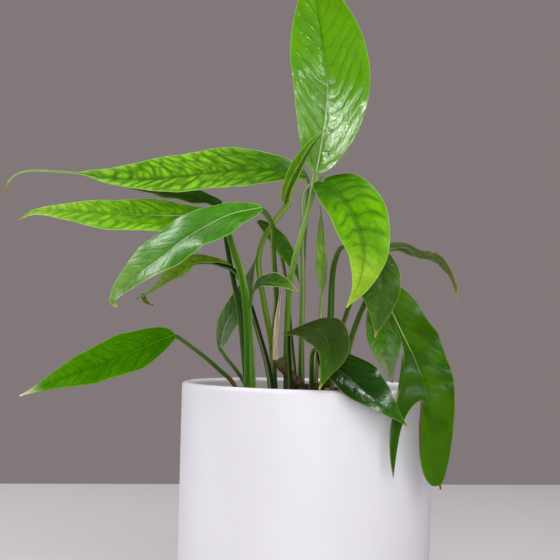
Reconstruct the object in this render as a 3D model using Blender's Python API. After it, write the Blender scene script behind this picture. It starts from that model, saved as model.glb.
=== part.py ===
"""A potted pothos: long-stalked leaves with drip tips, standing in soil in a plain white pot.

Metres, +Z up. The origin is the centre of the pot's underside, and the view of the plant that
its places are measured in looks along +Y, with +X to the right. Leaf and stalk points are given
in millimetres, because that is how they were measured.
"""

import math
from dataclasses import dataclass

import bmesh
import bpy
import numpy as np

MM = 0.001

# Pot
POT_RADIUS = 0.070
POT_HEIGHT = 0.130
POT_WALL = 0.0046
POT_FLOOR = 0.009
POT_FOOT_BEVEL = 0.0022
POT_INNER_CORNER = 0.008
POT_SIDES = 48

# Soil
SOIL_EDGE_HEIGHT = 0.1185
SOIL_MOUND = 0.0105
SOIL_MOUND_WIDTH = 0.024
SOIL_MOUND_X = 0.006
SOIL_CLODS = 0.0009
SOIL_RINGS = 8
SOIL_SIDES = 36

# Fit between neighbouring pieces
GAP = 0.0003

# Leaves
BLADE_THICKNESS = 0.0007
TIP_HALF_WIDTH = 0.0005     # half width left at the very tip
BASE_HALF_WIDTH = 0.0011    # half width left at the stalk
FOLD_SOFTNESS = 0.0015      # rounds the crease at the midrib
WAVE_SHIFT = 1.7            # sets the waves of the right margin off from the left, in radians
LOBE_POWER = 6              # how near the stalk a heart-shaped base stays
RIB_SAMPLES = 121

# Split leaf
FINGER_START = 0.47         # where the finger starts to stand out, as a share of its length
FINGER_RAMP = 0.47          # over how much of it
FINGER_LENGTH_POWER = 1.5
FINGER_WIDTH_POWER = 2.05

# Stalks, stems and midribs
STALK_SIDES = 6
STALK_RINGS = 11
STALK_TAPER = 0.8
RIB_SHARE = 0.62            # share of the blade that the raised midrib runs under
RIB_END_RADIUS = 0.00045
RIB_DEPTH = 0.0002
STEM_RINGS = 13
STEM_JOINT_WIDTH = 0.09     # as a share of the stem's length
CURVE_STEPS = 24


@dataclass(frozen=True)
class Side:
    """One side of a blade, from its midrib to its margin."""

    half: float             # widest half width, in mm
    widest: float = 0.42    # place of the widest point along the midrib
    opening: float = 0.10   # width at the stalk, as a share of the widest
    base: float = 0.60      # under 1 gives a full base, over 1 a wedge
    taper: float = 1.30     # over 1 gives a drawn-out tip


@dataclass(frozen=True)
class Split:
    """A cut that runs into a blade's right side and leaves a hanging finger above it."""

    at: float        # place of the cut along the midrib, 0 at the stalk and 1 at the tip
    root: float      # how near the midrib it reaches, as a share of the half width
    reach: float     # how far the finger hangs past the cut, in mm
    spread: float    # how far the finger stands out past the margin, in mm
    narrow: float    # half width just past the cut, as a share of the widest


@dataclass(frozen=True)
class Leaf:
    """One leaf: a blade bent along its midrib, and its stalk. Lengths are in mm.

    Left and right are as seen from the upper face with the tip up.
    """

    name: str
    colour: tuple
    rib: tuple              # points along the midrib, from the stalk to the tip
    face: tuple             # where the upper face looks, at the stalk and at the tip
    left: Side
    right: Side
    stalk: tuple = ()       # points from the foot to just below the blade
    thick: tuple = (1.5, 1.2)       # stalk radius at the foot and at the blade
    lobe: float = 0.0       # how far the heart-shaped base reaches behind the stalk
    tail: float = 0.0       # share of the length that is a thin drip tip
    fold: float = 12.0      # degrees that each half rises from the midrib
    cup: float = 0.0        # rise of the margins, less than 0 where they droop
    wave: float = 0.8       # height of the waves along the margins
    waves: float = 3.0      # number of those waves
    rows: int = 14
    columns: int = 6
    split: Split = None


MID_GREEN = (0.114, 0.330, 0.012)
BRIGHT_GREEN = (0.165, 0.445, 0.014)
DEEP_GREEN = (0.040, 0.220, 0.010)
DARK_GREEN = (0.028, 0.120, 0.008)
SHADE_GREEN = (0.012, 0.070, 0.006)
PALE_GREEN = (0.300, 0.500, 0.090)
PAPER_BROWN = (0.560, 0.430, 0.250)
STEM_BROWN = (0.090, 0.038, 0.014)
POT_WHITE = (0.860, 0.840, 0.860)
SOIL_BROWN = (0.060, 0.028, 0.012)

LEAVES = (
    Leaf(
        name="leaf_top",
        colour=MID_GREEN,
        rib=((2, -4, 248), (6, -8, 274), (7, -10, 294), (5, -8, 311), (0, 2, 345), (-5, 14, 375)),
        face=((0.05, -1, 0.25), (0.0, -1, 0.45)),
        left=Side(19.5, widest=0.45),
        right=Side(24.5, widest=0.45, base=0.65),
        stalk=((-11, -4, 119), (-12, -6, 149), (-11, -12, 186), (-6, -12, 210), (-1, -9, 230)),
        thick=(1.9, 1.5),
        fold=9, wave=0.7, rows=16,
    ),
    Leaf(
        name="leaf_folded",
        colour=BRIGHT_GREEN,
        rib=((-15, -23, 229), (-13, -25, 236), (-9, -26, 244), (-3, -26, 256), (3, -24, 266),
             (8, -19, 272)),
        face=((-0.75, -0.45, 0.45), (-0.75, -0.45, 0.5)),
        left=Side(6.5, widest=0.40, opening=0.25),
        right=Side(6.5, widest=0.40, opening=0.25),
        stalk=((-18, 1, 119), (-21, 0, 151), (-27, -8, 182), (-29, -13, 198), (-26, -19, 210),
               (-21, -22, 218)),
        thick=(2.0, 1.7),
        fold=46, wave=0.3, rows=12,
    ),
    Leaf(
        name="leaf_long_left",
        colour=BRIGHT_GREEN,
        rib=((-3, 8, 247), (-18, 4, 249), (-35, 2, 249), (-55, 0, 247), (-75, -2, 244),
             (-94, -4, 242), (-114, -5, 242), (-127, -6, 244), (-141, -6, 245), (-159, -6, 245),
             (-168, -6, 241), (-173, -6, 232)),
        face=((0, -0.72, 0.7), (0, -0.8, 0.6)),
        left=Side(15.5, widest=0.40, taper=1.15),
        right=Side(17.5, widest=0.40, taper=0.85),
        stalk=((-4, 6, 119), (-4, 7, 150), (-4, 8, 180), (-4, 10, 205), (-3, 11, 232)),
        thick=(2.0, 1.4),
        tail=0.27, fold=14, cup=-1.5, waves=4, rows=20,
    ),
    Leaf(
        name="leaf_second_left",
        colour=BRIGHT_GREEN,
        rib=((-52, 2, 224), (-62, 0, 222.5), (-78, -4, 222), (-106, -8, 222), (-139, -12, 223),
             (-153, -14, 222), (-162, -14, 217)),
        face=((0, -0.7, 0.7), (0, -0.75, 0.6)),
        left=Side(16, widest=0.42, taper=1.20),
        right=Side(11.5, widest=0.36, taper=1.45),
        stalk=((-31, -22, 119), (-33, -20, 159), (-37, -14, 186), (-45, -5, 209), (-49, 0, 219)),
        thick=(4.2, 1.5),
        fold=14, cup=-1.0, rows=15,
    ),
    Leaf(
        name="leaf_behind_left",
        colour=SHADE_GREEN,
        rib=((-52, 15, 229), (-60, 18, 233), (-82, 22, 237), (-107, 26, 239)),
        face=((0, -0.35, 0.9), (0, -0.5, 0.85)),
        left=Side(12, widest=0.36),
        right=Side(10),
        stalk=((-32, -13, 119), (-36, -11, 150), (-39, -5, 170), (-46, 5, 200), (-50, 12, 220)),
        thick=(2.0, 1.3),
        fold=16, cup=-2.0, rows=11,
    ),
    Leaf(
        name="leaf_front_left",
        colour=DEEP_GREEN,
        rib=((-27, -31, 226), (-44, -35, 221.5), (-59, -40, 213), (-69, -44, 206), (-79, -48, 197),
             (-89, -52, 189), (-98, -54, 181), (-103, -55, 174), (-101, -54, 170)),
        face=((-0.2, -0.6, 0.8), (-0.5, -0.7, 0.45)),
        left=Side(16, widest=0.30, base=0.55, taper=0.85),
        right=Side(18.5, widest=0.50, base=0.75, taper=1.05),
        stalk=((-18, -6, 119), (-19, -7, 157), (-18, -14, 176), (-20, -24, 201), (-21, -29, 215),
               (-23, -31, 222)),
        thick=(1.8, 1.5),
        fold=8, cup=-2.0, wave=1.0, rows=15,
    ),
    Leaf(
        name="leaf_arched_left",
        colour=DARK_GREEN,
        rib=((-44, -2, 195), (-55, -9, 197.5), (-66, -16, 195), (-75, -21, 188), (-84, -24, 181),
             (-94, -27, 175)),
        face=((-0.1, -0.45, 1), (-0.5, -0.45, 0.8)),
        left=Side(9, widest=0.45),
        right=Side(9, widest=0.45),
        stalk=((-18, -13, 119), (-22, -10, 140), (-27, -6, 156), (-33, -3, 174), (-39, -1, 188)),
        thick=(2.3, 1.5),
        fold=20, cup=-1.5, wave=0.9, rows=12,
    ),
    Leaf(
        name="leaf_low_left",
        colour=DEEP_GREEN,
        rib=((-72, -34, 156), (-80, -36, 153), (-95, -40, 145.5), (-116, -44, 137), (-136, -47, 129),
             (-152, -48, 122)),
        face=((-0.1, -0.75, 0.65), (-0.2, -0.75, 0.6)),
        left=Side(14.5, widest=0.34),
        right=Side(14, widest=0.34, base=0.55),
        stalk=((-37, -23, 119), (-40, -24, 130), (-46, -27, 136), (-54, -30, 143), (-64, -33, 150.5)),
        thick=(1.4, 1.1),
        fold=12, cup=-0.8, rows=14,
    ),
    Leaf(
        name="leaf_small_grey",
        colour=DARK_GREEN,
        rib=((-49, -5, 149), (-47.5, -5, 158), (-45, -2, 165), (-40, 2, 174), (-36, 6, 183),
             (-31, 12, 200)),
        face=((0.4, -0.9, 0.1), (0.2, -0.9, 0.3)),
        left=Side(6, widest=0.38),
        right=Side(6, widest=0.38),
        stalk=((-33, -7, 119), (-34, -7, 128), (-40, -6, 137), (-46, -5, 144)),
        thick=(1.3, 1.0),
        fold=10, wave=0.4, rows=10,
    ),
    Leaf(
        name="leaf_small_right",
        colour=DEEP_GREEN,
        rib=((-30.5, -26, 182), (-25, -32, 185), (-16, -39, 184.5), (-6, -46, 181)),
        face=((0.1, -0.8, 0.55), (0.1, -0.8, 0.5)),
        left=Side(6.5),
        right=Side(3.5),
        stalk=((-32.1, -20.4, 172), (-31.8, -22, 177)),
        thick=(0.9, 0.8),
        fold=18, wave=0.4, rows=10,
    ),
    Leaf(
        name="leaf_heart_right",
        colour=BRIGHT_GREEN,
        rib=((6, -12, 242), (10.5, -19, 239), (16, -25, 233), (21, -29, 226), (25, -33, 217),
             (28, -35, 207), (28.5, -36, 198), (26, -36, 185), (20, -34, 173)),
        face=((0.1, -0.85, 0.6), (0.15, -1, 0.0)),
        left=Side(19.5, widest=0.28, opening=0.35, taper=1.10),
        right=Side(12.5, widest=0.38, opening=0.35),
        stalk=((-3, -4, 119), (-4, -3, 152), (-4, -1, 186), (-5, 1, 206), (-5, 2, 232),
               (-4.5, 3, 240), (-1, 4, 244.5), (3.5, 2.5, 245.5), (7, -3, 245)),
        thick=(1.8, 1.2),
        lobe=7, fold=8, cup=-2.5, rows=15,
    ),
    Leaf(
        name="leaf_behind_right",
        colour=DARK_GREEN,
        rib=((31, -8, 205), (37, -13, 197), (39.5, -18, 186), (39, -21, 172), (36, -23, 157)),
        face=((0.1, -0.95, 0.4), (0.1, -1, -0.1)),
        left=Side(11, widest=0.35, opening=0.30),
        right=Side(14.5, widest=0.32, opening=0.30),
        stalk=((12, -9, 119), (15, -8, 149), (21, -4, 171), (27, -3, 190), (29, -5, 199)),
        thick=(1.9, 1.3),
        lobe=5, fold=8, cup=-2.0, wave=0.6, rows=12,
    ),
    Leaf(
        name="leaf_far_right",
        colour=DARK_GREEN,
        rib=((35, 26, 203), (42, 28, 207), (51, 32, 208.5), (59, 36, 205.5), (72, 40, 202),
             (80, 42, 196), (85, 44, 187), (87, 44, 180)),
        face=((0.1, -0.12, 1), (0.8, -0.5, 0.5)),
        left=Side(8, widest=0.45, taper=0.9),
        right=Side(7, widest=0.45, taper=0.9),
        stalk=((11, 3, 119), (12, 5, 170), (13, 8, 195), (18, 15, 208), (27, 22, 207)),
        thick=(2.6, 1.3),
        fold=18, wave=1.1, waves=3.5, rows=14,
    ),
    Leaf(
        name="leaf_inner_right",
        colour=DEEP_GREEN,
        rib=((38, 15, 182), (42, 15, 169), (44, 13, 155), (46, 12, 141), (48, 11, 131)),
        face=((0, -1, 0.4), (0, -1, 0.1)),
        left=Side(9.5),
        right=Side(11),
        stalk=((18, 8, 119), (20, 11, 140), (26, 15, 163), (33, 18, 180), (36, 17, 184.5)),
        thick=(1.4, 1.1),
        fold=10, cup=-1.0, wave=0.5, rows=11,
    ),
    Leaf(
        name="leaf_split_right",
        colour=DARK_GREEN,
        rib=((40, -1, 184), (45, -10, 173), (51, -28, 159), (56, -44, 147.5), (60, -55, 136),
             (63, -60, 123), (65, -61, 108), (68, -57, 92), (71, -51, 79)),
        face=((0.15, -0.8, 0.55), (0.30, -0.95, 0.1)),
        left=Side(19, widest=0.28, opening=0.45, taper=0.60),
        right=Side(16, widest=0.63, opening=0.03, base=4.1, taper=0.40),
        stalk=((19, -11, 119), (21, -9, 144), (26, -3, 163), (32, 2, 178), (36, 3, 184)),
        thick=(1.9, 1.4),
        tail=0.02, fold=6, cup=-1.5, wave=1.2, waves=4, rows=22, columns=10,
        split=Split(at=0.64, root=0.19, reach=35, spread=8.7, narrow=0.08),
    ),
    Leaf(
        name="leaf_rim_dark",
        colour=SHADE_GREEN,
        rib=((6, -50, 150), (12, -57, 144), (19, -64, 138.5), (28, -71, 131), (37.5, -74, 124.5),
             (45.5, -73, 118), (51.5, -71, 113)),
        face=((0.3, -0.75, 0.6), (0.45, -0.85, 0.3)),
        left=Side(17, widest=0.38, base=0.5),
        right=Side(9.5, widest=0.40),
        stalk=((2, -27, 119), (2, -31, 135), (2, -38, 147), (3.5, -44, 150.5)),
        fold=8, cup=-1.5, wave=0.6, rows=14,
    ),
    Leaf(
        name="leaf_rim_heart",
        colour=DARK_GREEN,
        rib=((-9, -42, 160), (0, -56, 162), (8, -67, 158), (11, -73, 150), (9, -78, 141),
             (6, -80, 131)),
        face=((0.1, -0.6, 0.8), (0.1, -1, 0.0)),
        left=Side(13.5, widest=0.40, opening=0.35),
        right=Side(9, widest=0.40, opening=0.35),
        stalk=((-9, -22, 119), (-10, -24, 140), (-11, -31, 153), (-10.5, -37, 158)),
        lobe=4, fold=8, cup=-2.0, wave=0.5, rows=13,
    ),
    Leaf(
        name="leaf_hanging_dark",
        colour=SHADE_GREEN,
        rib=((-30, 8, 221), (-23, 6, 215), (-15, 4, 205), (-9, 4, 195), (-6, 2, 187)),
        face=((0.1, -0.8, 0.6), (0.1, -1, 0.2)),
        left=Side(5),
        right=Side(5),
        stalk=((-5, 14, 119), (-9, 16, 150), (-14, 18, 190), (-20, 17, 212), (-27, 13, 222)),
        thick=(1.2, 1.0),
        wave=0.3, rows=10,
    ),
    Leaf(
        name="leaf_rolled_new",
        colour=PALE_GREEN,
        rib=((7, 10, 183), (8, 9, 192), (8, 8, 203), (6.5, 7, 216), (4.5, 6, 230)),
        face=((-0.6, -0.8, 0.0), (-0.6, -0.8, 0.0)),
        left=Side(6, widest=0.35),
        right=Side(6, widest=0.35),
        stalk=((4, 10, 119), (5.5, 11, 150), (6.5, 11, 170)),
        thick=(1.4, 1.2),
        fold=55, wave=0.0, rows=10,
    ),
    Leaf(
        name="sheath_papery",
        colour=PAPER_BROWN,
        rib=((-18, -9.3, 143), (-18, -9.9, 157), (-17, -14.8, 170), (-16, -19.5, 182)),
        face=((0.2, -1, 0.1), (0.3, -1, 0.2)),
        left=Side(1.9, widest=0.35, opening=0.6),
        right=Side(1.9, widest=0.35, opening=0.6),
        fold=0, cup=-0.7, wave=0.2, rows=9,
    ),
)


@dataclass(frozen=True)
class Stem:
    """A stem with no blade of its own. Lengths are in mm."""

    name: str
    colour: tuple
    path: tuple
    radii: tuple
    joints: tuple = ()      # places of the swollen rings along it
    swell: float = 0.7


STEMS = (
    Stem(
        name="stem_brown",
        colour=STEM_BROWN,
        path=((-2, -18, 119), (-5, -18, 130), (-11, -19, 137), (-16, -20, 144)),
        radii=(2.4, 3.0),
        joints=(0.45, 0.85),
    ),
)


def curve_points(points, count):
    """Points evenly spaced along a smooth curve through the given ones, in metres."""
    ends = np.array(points, float) * MM
    ends = np.vstack([2 * ends[0] - ends[1], ends, 2 * ends[-1] - ends[-2]])
    fine = []
    for a, b, c, d in zip(ends, ends[1:], ends[2:], ends[3:]):
        for u in np.linspace(0, 1, CURVE_STEPS, endpoint=False):
            fine.append(0.5 * (2 * b + (c - a) * u + (2 * a - 5 * b + 4 * c - d) * u**2
                               + (3 * b - a - 3 * c + d) * u**3))
    fine = np.array(fine + [ends[-2]])
    steps = np.linalg.norm(np.diff(fine, axis=0), axis=1)
    length = np.concatenate([[0], np.cumsum(steps)])
    places = np.linspace(0, length[-1], count)
    return np.column_stack([np.interp(places, length, fine[:, i]) for i in range(3)])


def unit(vector):
    """The vector at length 1."""
    return vector / np.linalg.norm(vector)


def rib_frame(leaf):
    """Length, points, directions and upper-face normals along a leaf's midrib."""
    points = curve_points(leaf.rib, RIB_SAMPLES)
    length = np.linalg.norm(np.diff(points, axis=0), axis=1).sum()
    along = np.gradient(points, axis=0)
    along /= np.linalg.norm(along, axis=1)[:, None]
    start, end = np.array(leaf.face, float)
    share = np.linspace(0, 1, RIB_SAMPLES)[:, None]
    face = start * (1 - share) + end * share
    face -= (face * along).sum(axis=1)[:, None] * along
    face /= np.linalg.norm(face, axis=1)[:, None]
    return length, points, along, face


def half_width(side, t):
    """Half width of one side of a blade at t along it, as a share of its widest."""
    if t < side.widest:
        rise = math.sin(math.pi / 2 * t / side.widest) ** side.base
        return side.opening + (1 - side.opening) * rise
    fall = math.cos(math.pi / 2 * (t - side.widest) / (1 - side.widest))
    return max(fall, 0.0) ** side.taper


def smooth_step(u):
    """Rises smoothly from 0 to 1 as u does."""
    u = min(max(u, 0.0), 1.0)
    return u * u * (3 - 2 * u)


def blade_place(leaf, frame, t, s, past_split=False):
    """Where the point of a blade lies that is t along it and s across it, from -1 to 1."""
    length, points, along, face = frame
    side = leaf.right if s > 0 else leaf.left
    reach = side.half * MM
    least = BASE_HALF_WIDTH + (TIP_HALF_WIDTH - BASE_HALF_WIDTH) * t
    across = s * math.hypot(reach * half_width(side, min(t / (1 - leaf.tail), 1.0)), least)
    x = length * t - leaf.lobe * MM * (1 - t) ** LOBE_POWER * s * s
    split = leaf.split
    calm = 0.0
    if split and s > 0:
        beyond = max(s - split.root, 0.0)
        if past_split:
            regrown = split.narrow + (1 - split.narrow) * (t - split.at) / (1 - split.at)
            across *= (min(s, split.root) + beyond * regrown) / s
        else:
            out = beyond / (1 - split.root)
            down = t / split.at
            x += split.reach * MM * down**FINGER_LENGTH_POWER * out**FINGER_WIDTH_POWER
            free = smooth_step((down - FINGER_START) / FINGER_RAMP)
            calm = free * min(2 * out, 1.0)
            across += split.spread * MM * free * out
    place = max(x, 0.0) / length * (len(points) - 1)
    low = min(int(place), len(points) - 2)
    part = min(place - low, 1.0)
    base = points[low] * (1 - part) + points[low + 1] * part
    forward = unit(along[low] * (1 - part) + along[low + 1] * part)
    up = unit(face[low] * (1 - part) + face[low + 1] * part)
    base = base + forward * (min(x, 0.0) + max(x - length, 0.0))
    right = np.cross(forward, up)
    fold = math.radians(leaf.fold)
    rise = math.hypot(across, FOLD_SOFTNESS) - FOLD_SOFTNESS
    share = across / reach
    height = rise * math.sin(fold) + leaf.cup * MM * share**2
    turn = 2 * math.pi * leaf.waves * t + (WAVE_SHIFT if s > 0 else 0.0)
    height += leaf.wave * MM * share**2 * math.sin(turn) * (1 - calm)
    return base + right * across * math.cos(fold) + up * height


def split_face(points, a, b, c, d):
    """Two triangles for a four-sided face, divided along its shorter diagonal."""
    if np.linalg.norm(points[a] - points[c]) < np.linalg.norm(points[b] - points[d]):
        return [(a, b, c), (a, c, d)]
    return [(a, b, d), (b, c, d)]


def blade_sheet(leaf):
    """The middle surface of a blade, as points and triangles."""
    frame = rib_frame(leaf)
    columns = np.linspace(-1, 1, leaf.columns + 1)
    cut = round(leaf.split.at * leaf.rows) if leaf.split else leaf.rows + 1
    grid = np.arange((leaf.rows + 1) * (leaf.columns + 1)).reshape(leaf.rows + 1, -1)
    flat = [blade_place(leaf, frame, i / leaf.rows, s, i > cut)
            for i in range(leaf.rows + 1) for s in columns]
    below_cut = grid.copy()
    if leaf.split:
        for j, s in enumerate(columns):
            if s > leaf.split.root:
                below_cut[cut, j] = len(flat)
                flat.append(blade_place(leaf, frame, cut / leaf.rows, s, True))
    faces = []
    for i in range(leaf.rows):
        for j in range(leaf.columns):
            near = below_cut if i == cut else grid
            corners = near[i, j], near[i, j + 1], grid[i + 1, j + 1], grid[i + 1, j]
            faces += split_face(flat, *corners)
    return flat, faces


def mesh_object(name, points, faces):
    """A new object in the scene from points and faces."""
    mesh = bpy.data.meshes.new(name)
    mesh.from_pydata([tuple(float(v) for v in point) for point in points], [],
                     [tuple(int(v) for v in face) for face in faces])
    obj = bpy.data.objects.new(name, mesh)
    bpy.context.scene.collection.objects.link(obj)
    return obj


def tube(name, points, radii, sides=STALK_SIDES):
    """A round tube along points, with one radius for each, closed at both ends."""
    along = np.gradient(points, axis=0)
    along /= np.linalg.norm(along, axis=1)[:, None]
    normal = np.cross(along[0], (0.0, 1.0, 0.0))
    verts, faces = [], []
    for point, direction, radius in zip(points, along, radii):
        normal = unit(normal - direction * (normal @ direction))
        other = np.cross(direction, normal)
        for k in range(sides):
            angle = 2 * math.pi * k / sides
            verts.append(point + radius * (normal * math.cos(angle) + other * math.sin(angle)))
    for i in range(len(points) - 1):
        for k in range(sides):
            a, b = i * sides + k, i * sides + (k + 1) % sides
            faces.append((a, b, b + sides, a + sides))
    faces.append(tuple(range(sides))[::-1])
    last = (len(points) - 1) * sides
    faces.append(tuple(range(last, last + sides)))
    return mesh_object(name, verts, faces)


def stalk_path(leaf):
    """The stalk's own points and radii, up to where it meets the blade."""
    points = curve_points(leaf.stalk + leaf.rib[:1], STALK_RINGS)
    share = np.linspace(0, 1, len(points)) ** STALK_TAPER
    radii = (leaf.thick[0] + (leaf.thick[1] - leaf.thick[0]) * share) * MM
    return points, radii


def stalk_and_rib(leaf):
    """The stalk and the raised midrib under the blade, as one tube."""
    points, radii = stalk_path(leaf)
    _, rib, _, face = rib_frame(leaf)
    last = leaf.thick[1] * MM
    share = RIB_SHARE * (1 - leaf.tail)
    under = [rib[0] - face[0] * last]
    thin = []
    for row in range(1, int(share * leaf.rows) + 1):
        place = row / leaf.rows
        i = round(place * (len(rib) - 1))
        radius = max(last * (1 - place / share) ** STALK_TAPER, RIB_END_RADIUS)
        thin.append(radius)
        under.append(rib[i] - face[i] * (radius + RIB_DEPTH))
    points = np.vstack([points[:-1], under])
    return tube(leaf.name + "_stalk", points, np.concatenate([radii, thin]))


def material(name, colour, roughness):
    """A plain material of one colour."""
    made = bpy.data.materials.new(name)
    made.use_nodes = True
    shader = made.node_tree.nodes["Principled BSDF"]
    shader.inputs["Base Color"].default_value = (*colour, 1.0)
    shader.inputs["Roughness"].default_value = roughness
    shader.inputs["Metallic"].default_value = 0.0
    return made


def combine(base, others, operation, solver="EXACT"):
    """Joins other objects to the base, or cuts them from it, and removes them."""
    helpers = bpy.data.collections.new(base.name + "_helpers")
    bpy.context.scene.collection.children.link(helpers)
    for other in others:
        bpy.context.scene.collection.objects.unlink(other)
        helpers.objects.link(other)
    boolean = base.modifiers.new(operation.lower(), "BOOLEAN")
    boolean.operation = operation
    boolean.operand_type = "COLLECTION"
    boolean.collection = helpers
    boolean.solver = solver
    bpy.context.view_layer.update()
    graph = bpy.context.evaluated_depsgraph_get()
    result = bpy.data.meshes.new_from_object(base.evaluated_get(graph))
    base.modifiers.clear()
    old = base.data
    base.data = result
    bpy.data.meshes.remove(old)
    for other in others:
        bpy.data.objects.remove(other)
    bpy.data.collections.remove(helpers)
    return base


def finish(obj, colour, roughness):
    """Gives a piece its material, smooth shading and outward faces."""
    mesh = obj.data
    shape = bmesh.new()
    shape.from_mesh(mesh)
    bmesh.ops.remove_doubles(shape, verts=shape.verts, dist=1e-6)
    bmesh.ops.triangulate(shape, faces=shape.faces)
    bmesh.ops.recalc_face_normals(shape, faces=shape.faces)
    shape.to_mesh(mesh)
    shape.free()
    mesh.materials.clear()
    mesh.materials.append(material(obj.name, colour, roughness))
    mesh.shade_smooth()
    mesh.set_sharp_from_angle(angle=math.radians(40))
    return obj


def build_leaf(leaf):
    """A whole leaf, its blade and stalk joined in one solid."""
    blade = mesh_object(leaf.name, *blade_sheet(leaf))
    solidify = blade.modifiers.new("thickness", "SOLIDIFY")
    solidify.thickness = BLADE_THICKNESS
    solidify.offset = 0.0
    # The exact solver loses some of these thin blades whole.
    if leaf.stalk:
        combine(blade, [stalk_and_rib(leaf)], "UNION", "MANIFOLD")
    return finish(blade, leaf.colour, 0.35)


def stem_path(stem):
    """A stem's points and radii, swollen at its joints."""
    points = curve_points(stem.path, STEM_RINGS)
    share = np.linspace(0, 1, len(points))
    radii = stem.radii[0] + (stem.radii[1] - stem.radii[0]) * share
    for place in stem.joints:
        radii = radii + stem.swell * np.exp(-((share - place) / STEM_JOINT_WIDTH) ** 2)
    return points, radii * MM


def build_stem(stem):
    """A plain stem with swollen joints."""
    points, radii = stem_path(stem)
    return finish(tube(stem.name, points, radii), stem.colour, 0.7)


def arc(centre, radius, start, end, count):
    """Points of an arc in the X and Z of a turned profile, angles in degrees."""
    angles = [math.radians(start + (end - start) * i / (count - 1)) for i in range(count)]
    return [(centre[0] + radius * math.cos(a), centre[1] + radius * math.sin(a)) for a in angles]


def turned(name, profile, sides):
    """A solid turned round the Z axis from a profile that starts and ends on the axis."""
    verts = [(0.0, 0.0, profile[0][1])]
    for radius, height in profile[1:-1]:
        for k in range(sides):
            angle = 2 * math.pi * k / sides
            verts.append((radius * math.cos(angle), radius * math.sin(angle), height))
    verts.append((0.0, 0.0, profile[-1][1]))
    faces = []
    rings = len(profile) - 2
    last = len(verts) - 1
    for k in range(sides):
        following = (k + 1) % sides
        faces.append((0, 1 + following, 1 + k))
        for ring in range(rings - 1):
            a, b = 1 + ring * sides + k, 1 + ring * sides + following
            faces.append((a, b, b + sides, a + sides))
        top = 1 + (rings - 1) * sides
        faces.append((top + k, top + following, last))
    return mesh_object(name, verts, faces)


def build_pot():
    """The pot: a straight white cylinder with a rounded rim and a plain flat foot."""
    inner = POT_RADIUS - POT_WALL
    lip = POT_WALL / 2
    profile = [(0.0, 0.0)]
    profile += arc((POT_RADIUS - POT_FOOT_BEVEL, POT_FOOT_BEVEL), POT_FOOT_BEVEL, -90, 0, 3)
    profile += arc((POT_RADIUS - lip, POT_HEIGHT - lip), lip, 0, 180, 7)
    corner = (inner - POT_INNER_CORNER, POT_FLOOR + POT_INNER_CORNER)
    profile += arc(corner, POT_INNER_CORNER, 0, -90, 4)
    profile.append((0.0, POT_FLOOR))
    pot = turned("pot", profile, POT_SIDES)
    return finish(pot, POT_WHITE, 0.45)


def soil_height(x, y):
    """Height of the soil's surface, with its mound and low clods."""
    away = math.hypot(x - SOIL_MOUND_X, y)
    height = SOIL_EDGE_HEIGHT + SOIL_MOUND * math.exp(-(away / SOIL_MOUND_WIDTH) ** 2 / 2)
    clods = math.sin(x / 0.0051 + 1.3 * math.sin(y / 0.0067)) * math.sin(y / 0.0058 + x / 0.013)
    return height + SOIL_CLODS * clods


def build_soil(cutters):
    """The soil that fills the pot, mounded in the middle, with a plain hole for each stem."""
    outer = POT_RADIUS - POT_WALL - GAP
    corner = (outer + GAP - POT_INNER_CORNER, POT_FLOOR + POT_INNER_CORNER)
    profile = [(0.0, POT_FLOOR + GAP)]
    profile += arc(corner, POT_INNER_CORNER - GAP, -90, 0, 4)
    for ring in range(SOIL_RINGS):
        profile.append((outer * (1 - ring / SOIL_RINGS), SOIL_EDGE_HEIGHT))
    profile.append((0.0, SOIL_EDGE_HEIGHT))
    soil = turned("soil", profile, SOIL_SIDES)
    for vertex in soil.data.vertices:
        if vertex.co.z > SOIL_EDGE_HEIGHT - MM:
            vertex.co.z = soil_height(vertex.co.x, vertex.co.y)
    combine(soil, cutters, "DIFFERENCE")
    return finish(soil, SOIL_BROWN, 0.95)


def hole_cutter(name, points, radii):
    """A tube a little wider and deeper than a stem's foot, which cuts its hole."""
    down = unit(points[0] - points[1])
    path = np.vstack([points[0] + down * GAP, points[1:5]])
    wider = np.concatenate([radii[:1], radii[1:5]]) + GAP / math.cos(math.pi / STALK_SIDES)
    return tube(name + "_hole", path, wider)


def clear_scene():
    """Removes every object that is in the scene."""
    for obj in list(bpy.data.objects):
        bpy.data.objects.remove(obj, do_unlink=True)


def main():
    """Builds the pot, the soil and every leaf and stem."""
    clear_scene()
    build_pot()
    cutters = []
    for leaf in LEAVES:
        build_leaf(leaf)
        if leaf.stalk and leaf.stalk[0][2] * MM < SOIL_EDGE_HEIGHT + MM:
            cutters.append(hole_cutter(leaf.name, *stalk_path(leaf)))
    for stem in STEMS:
        build_stem(stem)
        cutters.append(hole_cutter(stem.name, *stem_path(stem)))
    build_soil(cutters)


main()
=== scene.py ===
"""The finished look of a potted pothos: veined leaves on channelled stalks, soil and a glazed pot.

Metres, +Z up, in the frame's own place. The leaves keep the midribs, widths and stalks that their
solids have, and are made finer, with sunken veins. Leaf and stalk points are in millimetres.
"""

import logging
import math
from dataclasses import dataclass
from enum import Enum
from functools import cached_property
from typing import Any, Optional

import bpy
import numpy as np
from mathutils import Matrix, Vector

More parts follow.
